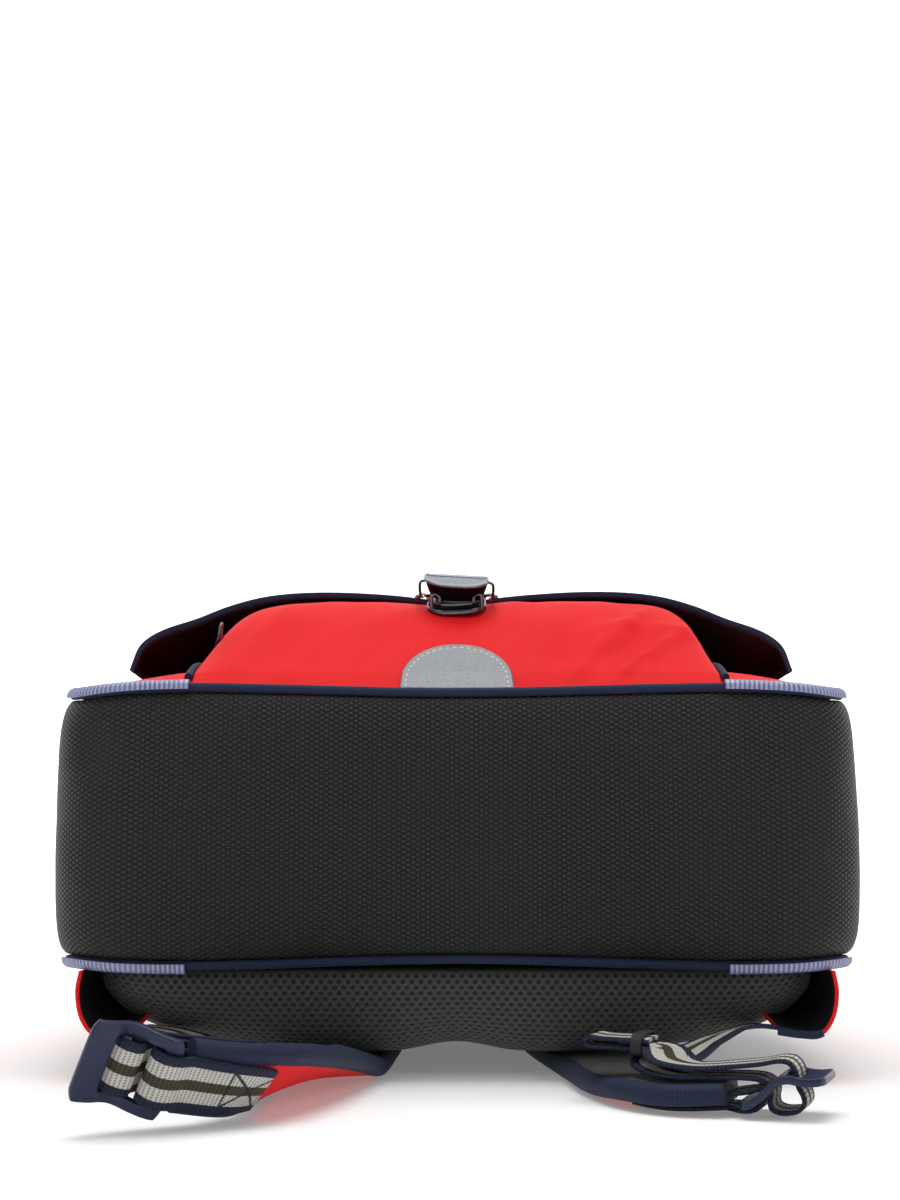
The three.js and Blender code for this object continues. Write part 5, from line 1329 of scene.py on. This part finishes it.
# %% Webbing tables
# columns: y as a share of the adjuster's length, z as a share of the strap's thickness
SEWN_TURN = np.array([[-0.1154, 0.64], [0, 0.76], [0.1103, 0.78], [0.2051, 0.67], [0.2718, 0.37],
                      [0.2795, 0.07], [0.241, -0.12], [0.1282, -0.04], [-0.1154, 0.05]])
THREADS = {
    "left": np.array([[-0.2564, -0.7], [0.0513, -0.64], [0.2308, -0.54], [0.3333, -0.32], [0.3846, -0.06],
                      [0.4513, 0.03], [0.5231, -0.04], [0.5949, -0.2], [0.641, -0.5], [0.6513, -0.85],
                      [0.6026, -1.18], [0.4872, -1.3], [0.2564, -1.2], [-0.0513, -1.14]]),
    "right": np.array([[-10, -7], [2, -6.4], [9, -5.4], [12.8, -3], [14, 0.5], [13.2, 4], [13.6, 7],
                       [16.5, 8.8], [21, 9.2], [25.4, 8.4], [28, 5.6], [27.8, 2], [26.2, -1.5], [25.8, -5],
                       [25.2, -9], [23, -12], [19, -13], [10, -12], [-2, -11.4]]) / [39, 10],
}
# columns: x, y and z of a station, and the direction of its width
LOWER = {
    "left": np.array([[-159, 24, 25.6, 0, 1, 0], [-141, 18, 24, 0.2, 1, 0], [-122, 0, 19, 0.65, 0.75, 0.1],
                      [-112, -27.84, 15.6, 0.95, 0.1, 0.2], [-108, -60.9, 17, 0.9, 0, 0.4]]),
    "right": np.array([[159, 24, 25.6, 0, 1, 0], [146, 14, 26.6, -0.3, 0.9, -0.1],
                       [130, -3.48, 25.4, -0.9, 0.5, -0.3], [115, -21.75, 21.6, -0.9, 0.45, -0.2],
                       [104, -40.02, 19.4, -0.95, 0.3, 0]]),
}
# columns: how far back from the strap's end, out of its middle and aside, in millimetres
BESIDE_IN = {"left": [[62, -9, -7], [36, -8, -3], [16, -7.4, -1]],
             "right": [[44, -10.6, 1], [28, -8.6, 0], [14, -7.4, 0]]}
BESIDE_OUT = {"left": [[10, -11.4, 0], [24, -11.8, -1], [40, -13, -3]],
              "right": [[10, -11.4, 0], [24, -13.2, 0]]}
FOLD = np.array([[-8, -1.5], [4, -1.6], [18, -1.8], [24.5, -1.2], [25.8, 0.4], [24, 2], [18, 1.7],
                 [4, 1.6], [-4, 1.6]])
FOLD_PLACE = np.array([BAG_WIDTH * 0.212, -BAG_HEIGHT * 0.155, PAD_THICKNESS * 0.62])
FOLD_AXES = unit(np.array([[-0.94, 0.34, 0], [-0.34, -0.94, 0], [0, 0, 1.0]]))


# %% Webbing pieces
def lock_axes(f):
    """Origin and axes of the adjuster at a strap's end: x along the width, y ahead, z out."""
    out = -f["n"][-1]
    x = f["w"][-1]
    return f["c"][-1] + f["t"][-1] * LOCK_GAP, np.stack([x, -np.cross(x, out), out])


def in_lock(rows, axes, width_direction):
    """Stations given in the adjuster's axes, as middle and width direction."""
    origin, basis = axes
    local = np.stack([0 * rows[:, 0], rows[:, 0] * LADDER_LENGTH, rows[:, 1] * STRAP_THICKNESS], -1)
    return origin + local @ basis, np.tile(width_direction, (len(rows), 1))


def beside(f, rows):
    """Stations beside a strap: back along it, out of its face and aside."""
    steps = np.linalg.norm(np.diff(f["c"], axis=0), axis=1)
    back_run = np.concatenate([[0], np.cumsum(steps[::-1])])
    picks = [len(f["c"]) - 1 - int(np.searchsorted(back_run, back - 1e-6)) for back, _, _ in rows]
    out = np.array([row[1] for row in rows])[:, None]
    aside = np.array([row[2] for row in rows])[:, None]
    return f["c"][picks] - f["n"][picks] * out + f["w"][picks] * aside, f["w"][picks]


def webbing(name, middle, wide, steps, replaces, finish=WEBBING, slant=0.0):
    """A flat ribbon through stations, its UV across from its middle and along by run. A slant pulls one
    corner of the first edge along the ribbon, as a webbing cut askew has it."""
    f = frames(middle, wide, np.full(len(middle), WEBBING_WIDTH), steps)
    lanes = np.linspace(-0.5, 0.5, 15)
    points = f["c"][:, None] + (lanes[:, None] * f["w"][:, None]) * WEBBING_WIDTH
    run = run_of(f["c"], 0)[:, None]
    pull = slant * (lanes + 0.5) * np.clip(1 - run / 24, 0, 1)
    points = points + pull[..., None] * f["t"][:, None]
    uv = np.stack(np.broadcast_arrays(lanes * WEBBING_WIDTH, run + pull), -1)
    piece = recalculated(thicken(grid_piece(name, points, uv, sharp=60), WEBBING_THICKNESS * 0.96, 0.0))
    return finished(piece, "bag", finish, replaces=replaces, slot="striped_webbing")


def sewn_stations(f, axes):
    """The short webbing: back along the strap's outer face, then round the near bar."""
    out = STRAP_THICKNESS / 2 + WEBBING_THICKNESS / 2 + FIT
    steps = np.linalg.norm(np.diff(f["c"], axis=0), axis=1)[::-1]
    run = np.concatenate([[0], np.cumsum(steps)])
    count = int(np.sum(run <= SEWN_LENGTH))
    keep = slice(len(f["c"]) - count, len(f["c"]))
    middle, wide = in_lock(SEWN_TURN, axes, f["w"][-1])
    path = np.concatenate([f["c"][keep] - f["n"][keep] * out, middle])
    return path, np.concatenate([f["w"][keep], wide])


LOCKS = {}
for side, label in SIDES:
    strap = frames(*strap_stations(STRAP_ROWS[label], side), 34)
    axes = lock_axes(strap)
    LOCKS[label] = axes
    sewn_middle, sewn_wide = sewn_stations(strap, axes)
    webbing(f"sewn_tape_{label}", sewn_middle, sewn_wide, 120, (f"sewn_webbing_{label}",), SEWN_WEBBING, 9.0)
    parts = [(LOWER[label][:, :3], LOWER[label][:, 3:]), beside(strap, BESIDE_IN[label]),
             in_lock(THREADS[label], axes, strap["w"][-1]), beside(strap, BESIDE_OUT[label])]
    if label == "right":
        local = np.stack([FOLD[:, 0], 0 * FOLD[:, 0], FOLD[:, 1]], -1)
        parts.append((FOLD_PLACE + local @ FOLD_AXES, np.tile([0.34, 0.94, 0], (len(FOLD), 1))))
    middle = np.concatenate([p[0] for p in parts])
    wide = unit(np.concatenate([p[1] for p in parts]).astype(float))
    webbing(f"lower_tape_{label}", middle, wide, 420, (f"lower_webbing_{label}",))

# %% [markdown]
# The adjuster's plate comes from a coarse cage: columns across, rows along, with the cells of both slots
# left out. Solidify gives it a wall and two levels of subdivision round every edge, as a moulding is.

# %% Ladder locks
# columns: share of the length, height out of the plate in wall thicknesses
LADDER_PROFILE = np.array([[0, 1.3], [0.12, 1.25], [0.3, 0.1], [0.45, -1.3], [0.58, -1.6], [0.78, -1.1],
                           [1, -1.2]])
# lines of the cage across and along the adjuster, in millimetres
CAGE_X = np.array([-19, -18.2, -16.2, -14.2, -13.4, -6, 6, 13.4, 14.2, 16.2, 18.2, 19])
CAGE_Y = np.array([0, 0.8, 4.2, 7.8, 8.6, 11.4, 14.2, 16.9, 17.6, 20.8, 21.6, 24.4, 27.2, 29.9, 30.7, 34.8,
                   38.2, 39])


def ladder_lock(label):
    heights = np.stack([LADDER_PROFILE[:, 0] * LADDER_LENGTH, LADDER_PROFILE[:, 1] * LADDER_WALL], -1)
    line = smooth_line(heights, np.linspace(0, 1, 200))
    y = np.interp(CAGE_Y, np.linspace(0, LADDER_LENGTH, 200), line[:, 0])
    z = np.interp(y, line[:, 0], line[:, 1])
    x_grid, y_grid = np.meshgrid(CAGE_X, y)
    corner = np.clip((np.abs(x_grid) - 12) / 7, 0, 1) ** 2
    y_grid = y_grid + corner * np.where(y_grid < 4, 2.2, np.where(y_grid > 34, -2.2, 0))
    local = np.stack([x_grid, y_grid, np.broadcast_to(z[:, None], x_grid.shape)], -1)
    origin, basis = LOCKS[label]
    points = origin + local @ basis
    rows, columns = x_grid.shape
    i, j = np.meshgrid(np.arange(rows - 1), np.arange(columns - 1), indexing="ij")
    mid_x, mid_y = (CAGE_X[j] + CAGE_X[j + 1]) / 2, (CAGE_Y[i] + CAGE_Y[i + 1]) / 2
    slot = (np.abs(mid_x) < 13.4) & (((mid_y > 8.6) & (mid_y < 16.9)) | ((mid_y > 21.6) & (mid_y < 29.9)))
    first = i * columns + j
    faces = np.stack([first, first + 1, first + columns + 1, first + columns], -1)[~slot]
    flat_uv = np.zeros((faces.size, 2))
    piece = smooth_object(f"adjuster_{label}", points.reshape(-1, 3), faces.tolist(), flat_uv, sharp=180)
    solid = piece.modifiers.new("wall", "SOLIDIFY")
    solid.thickness, solid.offset = LADDER_WALL * 0.98 / 1000, 0.0
    soft = piece.modifiers.new("moulding", "SUBSURF")
    soft.levels = soft.render_levels = 2
    recalculated(apply_modifiers(piece))
    return finished(piece, "bag", ACETAL, replaces=(f"ladder_lock_{label}",), slot="navy_plastic")


ladder_lock("left")
ladder_lock("right")

# %% Elastic keeper
ring_turn = np.linspace(0, 2 * np.pi, 41)
keeper_out = np.stack([boxed(np.cos(ring_turn), 0.35) * 14.6, boxed(np.sin(ring_turn), 0.35) * 4.5], -1)
keeper_in = keeper_out - np.sign(keeper_out) * [0.9, 0.9] * (np.abs(keeper_out) > 1)
runs = np.array([-1.5, -1.3, 0.5, 2.3, 3.3, 3.5])
shell = np.concatenate([np.broadcast_to(keeper_out, (6, 41, 2)), np.broadcast_to(keeper_in, (6, 41, 2))])
shell_run = np.concatenate([runs, runs[::-1]])
local = np.stack([np.broadcast_to(shell_run[:, None], (12, 41)), shell[..., 0], shell[..., 1]], -1)
band = (FOLD_PLACE + local @ FOLD_AXES).transpose(1, 0, 2)[:-1]
columns = band.shape[1]
faces, corners = joined_faces(*band.shape[:2])
loops = np.stack([np.stack([a * 2.0, shell_run[b % columns]], -1) for a, b in corners], 2).reshape(-1, 2)
keeper = recalculated(smooth_object("elastic_keeper", band.reshape(-1, 3), faces.tolist(), loops))
finished(keeper, "bag", BLACK_ELASTIC, replaces=("webbing_keeper",), slot="black_elastic")

# %% [markdown]
# ## The anchor wings
#
# Under each bottom corner a curled tab of the side's red cloth, lined in black, holds the lower webbing.
# Its lower edge is hemmed in navy.

# %% Wings
# columns: x as a share of the bag's width, how far down as a share of the wing's drop
WING_ROWS = np.array([[-0.4634, 0], [-0.4671, 0.36], [-0.461, 0.76], [-0.4463, 1], [-0.422, 1.02],
                      [-0.3951, 0.97]])
WING_TOP = Z_BACK - GUARD_INNER - GUARD_WALL - FIT
WING_DROP, WING_WALL, WING_SHUT = 29.0, 2.0, 150.0

for side, label in ((1, "left"), (-1, "right")):
    line = smooth_line(np.stack([side * WING_ROWS[:, 0] * BAG_WIDTH, 0 * WING_ROWS[:, 0],
                                 WING_TOP - WING_DROP * WING_ROWS[:, 1]], -1), np.linspace(0, 1, 60))
    depth = np.linspace(0, 1, 36)
    far = BAG_HEIGHT * lerp(0.224, 0.118, np.linspace(0, 1, 60))
    y = lerp(PAD_BASE - 1.5, far[None, :], depth[:, None])
    points = np.stack([np.broadcast_to(line[:, 0], y.shape), y, np.broadcast_to(line[:, 2], y.shape)], -1)
    low_part = np.linspace(0, 1, 60)
    closing = low_part * depth[:, None] ** 1.6
    points[..., 0] = lerp(points[..., 0], side * -WING_SHUT, closing) + side * 3.0 * (1 - closing)
    points[..., 2] += 0.5 * ripple(points[..., 1], points[..., 0], 30.0) * low_part + 13.0 * closing
    wing_uv = np.stack([run_of(points, 1), y], -1)
    sheet = faced(grid_piece(f"wing_{label}", points, wing_uv), (-side, 0, -1))
    sheet.data.materials.append(RED.material)
    sheet.data.materials.append(LINING.material)
    thicken(sheet, WING_WALL, inner_slot=1)
    finished(sheet, "bag", RED, LINING, replaces=(f"anchor_wing_{label}",), slot="red_fabric")
    hem_line = points[0, 34:] + [side * 0.8, 0, 0.8]
    hem = sweep(f"wing_hem_{label}", hem_line, 1.9, 12, up=(0, 1, 0))
    finished(hem, "bag", NAVY, slot="navy_fabric")

# %% [markdown]
# ## The lock
#
# A plate with a raised rim sits on the pocket's slope, with two bent hooks and a rounded box. Over it
# hangs the lever: a D-shaped cover on a black tapered body, carried by two wire loops that turn on small
# round knuckles at the flap's edge. In the lock's own axes y runs up the slope and z stands off it.

# %% Lock axes and outlines
def lock_point(local):
    """From the lock's own axes to the drawing: turned about X by its tilt and moved to the pocket."""
    tilt = np.radians(LOCK_TILT)
    base = pocket_point(np.array(0.0), np.array(LOCK_Y))[2] + 0.2
    x, y, z = np.moveaxis(np.asarray(local, float), -1, 0)
    along = LOCK_Y + y * np.cos(tilt) - z * np.sin(tilt)
    return np.stack([x, along, base + y * np.sin(tilt) + z * np.cos(tilt)], -1)


def d_outline(width, depth, back, turn, square=0.22):
    """A D: a full round front towards -y and a nearly straight back at y = back with small round corners."""
    cos, sin = np.cos(turn), np.sin(turn)
    front = sin < 0
    x = width / 2 * np.sign(cos) * np.abs(cos) ** np.where(front, 0.72, square)
    split = back - depth * 0.38
    y = np.where(front, split + (depth * 0.62) * sin, split + depth * 0.38 * np.abs(sin) ** square)
    return x, y


PLATE_SKEW, LEVER_SKEW = 0.05, -0.055


def skewed(local, slope):
    """Local points raised in proportion to x: the plate and the lever each sit a few degrees askew."""
    local = np.array(local, float)
    local[..., 2] += slope * local[..., 0]
    return local


def d_plate(name, width, depth, back, rows, finish, body, node=()):
    """A turned plate on a D outline: rows of (inset, z) walked from the middle of the underside round
    the edge to the middle of the top."""
    turn = np.linspace(0, 2 * np.pi, 97)
    rings = []
    for inset, z in rows:
        x, y = d_outline(width - 2 * inset, depth - 2 * inset, back - inset, turn)
        slope = PLATE_SKEW if body == "bag" else LEVER_SKEW
        rings.append(lock_point(skewed(np.stack([x, y, np.full_like(x, z)], -1), slope)))
    ring = np.stack(rings)
    uv = np.stack(np.broadcast_arrays(turn * width / 2, np.arange(len(rows))[:, None]), -1)
    piece = recalculated(grid_piece(name, ring[:, :-1], uv, ring=True, caps=True, sharp=50))
    return finished(piece, body, finish, replaces=node, slot="dark_metal")


HOOK_X, HOOK_Y, HOOK_FOOT, HOOK_TOP, HOOK_RADIUS = 13.4, -4.6, 1.6, 10.5, 1.1
PLATE_ROWS = [(4, 0.02), (0.5, 0.05), (0.05, 0.5), (0.0, 1.6), (0.1, 2.9), (0.4, 3.35), (0.8, 3.35),
              (1.1, 3.0), (1.35, 2.2), (2.2, 2.0), (6, 2.0)]
BOX_ROWS = [(2, 2.1), (0.3, 2.1), (0, 2.5), (0, 4.6), (0.35, 5.9), (1.1, 6.7), (2.0, 6.95), (5, 7.0)]
# columns: how far a hook is bent inwards and its height as a share of the top
HOOK_BEND = np.array([[0, 0.6], [0.5, 0.9], [2.2, 1], [4, 0.86], [4.4, 0.6]])
d_plate("lock_plate", 32, 22, 11.0, PLATE_ROWS, METAL, "bag", ("lock_base",))
d_plate("lock_box", 25, 13.5, 9, BOX_ROWS, METAL, "bag")
arc = np.linspace(0, np.pi, 40)
rim_bar = lock_point(np.stack([-11.2 * np.cos(arc), 4.0 - 8.6 * np.sin(arc) ** 0.8, np.full(40, 6.3)], -1))
finished(sweep("lock_rim_bar", rim_bar, 0.85, 10), "bag", METAL, slot="dark_metal")
for side, label in SIDES:
    hook_x = side * (HOOK_X - HOOK_BEND[:, 0])
    bend = np.stack([hook_x, np.full_like(hook_x, HOOK_Y), HOOK_TOP * HOOK_BEND[:, 1]], -1)
    stations = np.concatenate([[[side * HOOK_X, HOOK_Y, HOOK_FOOT]], bend])
    path = lock_point(smooth_line(stations, np.linspace(0, 1, 60)))
    hook = sweep(f"lock_hook_{label}", path, HOOK_RADIUS, 12, up=(0, 1, 0))
    finished(hook, "bag", METAL, slot="dark_metal")


# %% Lever and hinge
LEVER_WIDTH, LEVER_DEPTH, LEVER_BACK, CORE_TOP, CORE_BOTTOM = 35.0, 24.0, 13.0, 15.5, 7.7
PIVOT_Y, PIVOT_Z, PIVOT_HALF = 17.0, 3.0, 21.0
WIRE_RADIUS, ARM_RADIUS, KNUCKLE_RADIUS = 0.8, 1.1, 1.7
COVER_ROWS = [(6, 15.55), (0.9, 15.5), (0.2, 15.6), (0.0, 16.0), (0.05, 16.5), (0.4, 16.85), (0.9, 16.9),
              (1.5, 16.6), (1.9, 16.35), (6, 16.4)]
d_plate("lever_plate", LEVER_WIDTH, LEVER_DEPTH, LEVER_BACK, COVER_ROWS, COVER_METAL, "lock_lever",
        ("lock_lever_cover",))
share = np.linspace(0, 1, 24)[:, None]
turn = np.linspace(0, 2 * np.pi, 73)[None, :]
core_half = lerp(13.2, LEVER_WIDTH / 2 - 1.0, share ** 0.7)
core_front, core_back = lerp(-5.6, -8.6, share), lerp(8.0, 11.4, share)
core_x = core_half * boxed(np.cos(turn), 0.7)
core_y = lerp(core_front, core_back, 0.5 + 0.5 * boxed(np.sin(turn), 0.7))
core_z = lerp(CORE_BOTTOM - 0.2, CORE_TOP - 0.1, share)
core = lock_point(skewed(np.stack(np.broadcast_arrays(core_x, core_y, core_z), -1), LEVER_SKEW))
core_uv = np.stack(np.broadcast_arrays(turn * 14, share * 8), -1)
core_piece = recalculated(grid_piece("lever_core", core[:, :-1], core_uv, ring=True, caps=True))
finished(core_piece, "lock_lever", GLOSS_BLACK, replaces=("lock_lever_core",), slot="black_plastic")
for side, label in SIDES:
    x = side * (LEVER_WIDTH / 2 - 0.2)
    stations = np.array([[x - side * 1.2, 2, CORE_TOP + 0.6], [x + side * 1.9, 2, CORE_TOP - 0.6],
                         [x + side * 2.4, 3, CORE_TOP - 4], [x + side * 2, 7, CORE_TOP - 9],
                         [x + side * 1.2, 12, PIVOT_Z + 1], [x + side * 0.9, PIVOT_Y, PIVOT_Z]])
    path = lock_point(skewed(smooth_line(stations, np.linspace(0, 1, 70)), LEVER_SKEW * 0.6))
    wire = sweep(f"lever_wire_{label}", path, WIRE_RADIUS, 12, up=(1, 0, 0))
    finished(wire, "lock_lever", METAL, slot="dark_metal")

pivot = lock_point([0, PIVOT_Y, PIVOT_Z])
edge_top = drawn_box("lock_hinge")[1][2] - 0.8
plate_y = np.array([FLAP_EDGE + 2, FLAP_EDGE + 22])
turn = np.linspace(0, 2 * np.pi, 65)
plate_rings = []
for inset, z in ((3, -0.8), (0.3, -0.8), (0, -0.4), (0, 0.3), (0.4, 0.75), (3, 0.8)):
    plate_rings.append(np.stack([(17 - inset) * boxed(np.cos(turn), 0.3),
                                 plate_y.mean() + (10 - inset) * boxed(np.sin(turn), 0.3),
                                 np.full_like(turn, edge_top + z)], -1))
plate_ring = np.stack(plate_rings)
plate_uv = np.stack(np.broadcast_arrays(turn * 14, np.arange(6)[:, None]), -1)
hinge = recalculated(grid_piece("hinge_plate", plate_ring[:, :-1], plate_uv, ring=True, caps=True))
finished(hinge, "bag", METAL, replaces=("lock_hinge",), slot="dark_metal")
near_pole = np.pi / 2 - 0.02
lat, lon = np.meshgrid(np.linspace(-near_pole, near_pole, 15), np.linspace(0, 2 * np.pi, 25), indexing="ij")
for side, label in SIDES:
    ball = np.stack([side * PIVOT_HALF + KNUCKLE_RADIUS * np.sin(lat),
                     pivot[1] + KNUCKLE_RADIUS * np.cos(lat) * np.cos(lon),
                     pivot[2] + KNUCKLE_RADIUS * np.cos(lat) * np.sin(lon)], -1)
    ball_uv = np.stack([lon, lat], -1)
    knuckle = recalculated(grid_piece(f"knuckle_{label}", ball[:, :-1], ball_uv, ring=True, caps=True))
    finished(knuckle, "bag", METAL, slot="dark_metal")
    stations = np.array([[side * PIVOT_HALF, pivot[1], pivot[2]],
                         [side * (PIVOT_HALF - 1), lerp(pivot[1], plate_y[0], 0.5),
                          lerp(pivot[2], edge_top, 0.7)],
                         [side * 15.5, plate_y[0] + 3, edge_top]])
    arm = sweep(f"hinge_arm_{label}", smooth_line(stations, np.linspace(0, 1, 50)), ARM_RADIUS, 12)
    finished(arm, "bag", METAL, slot="dark_metal")
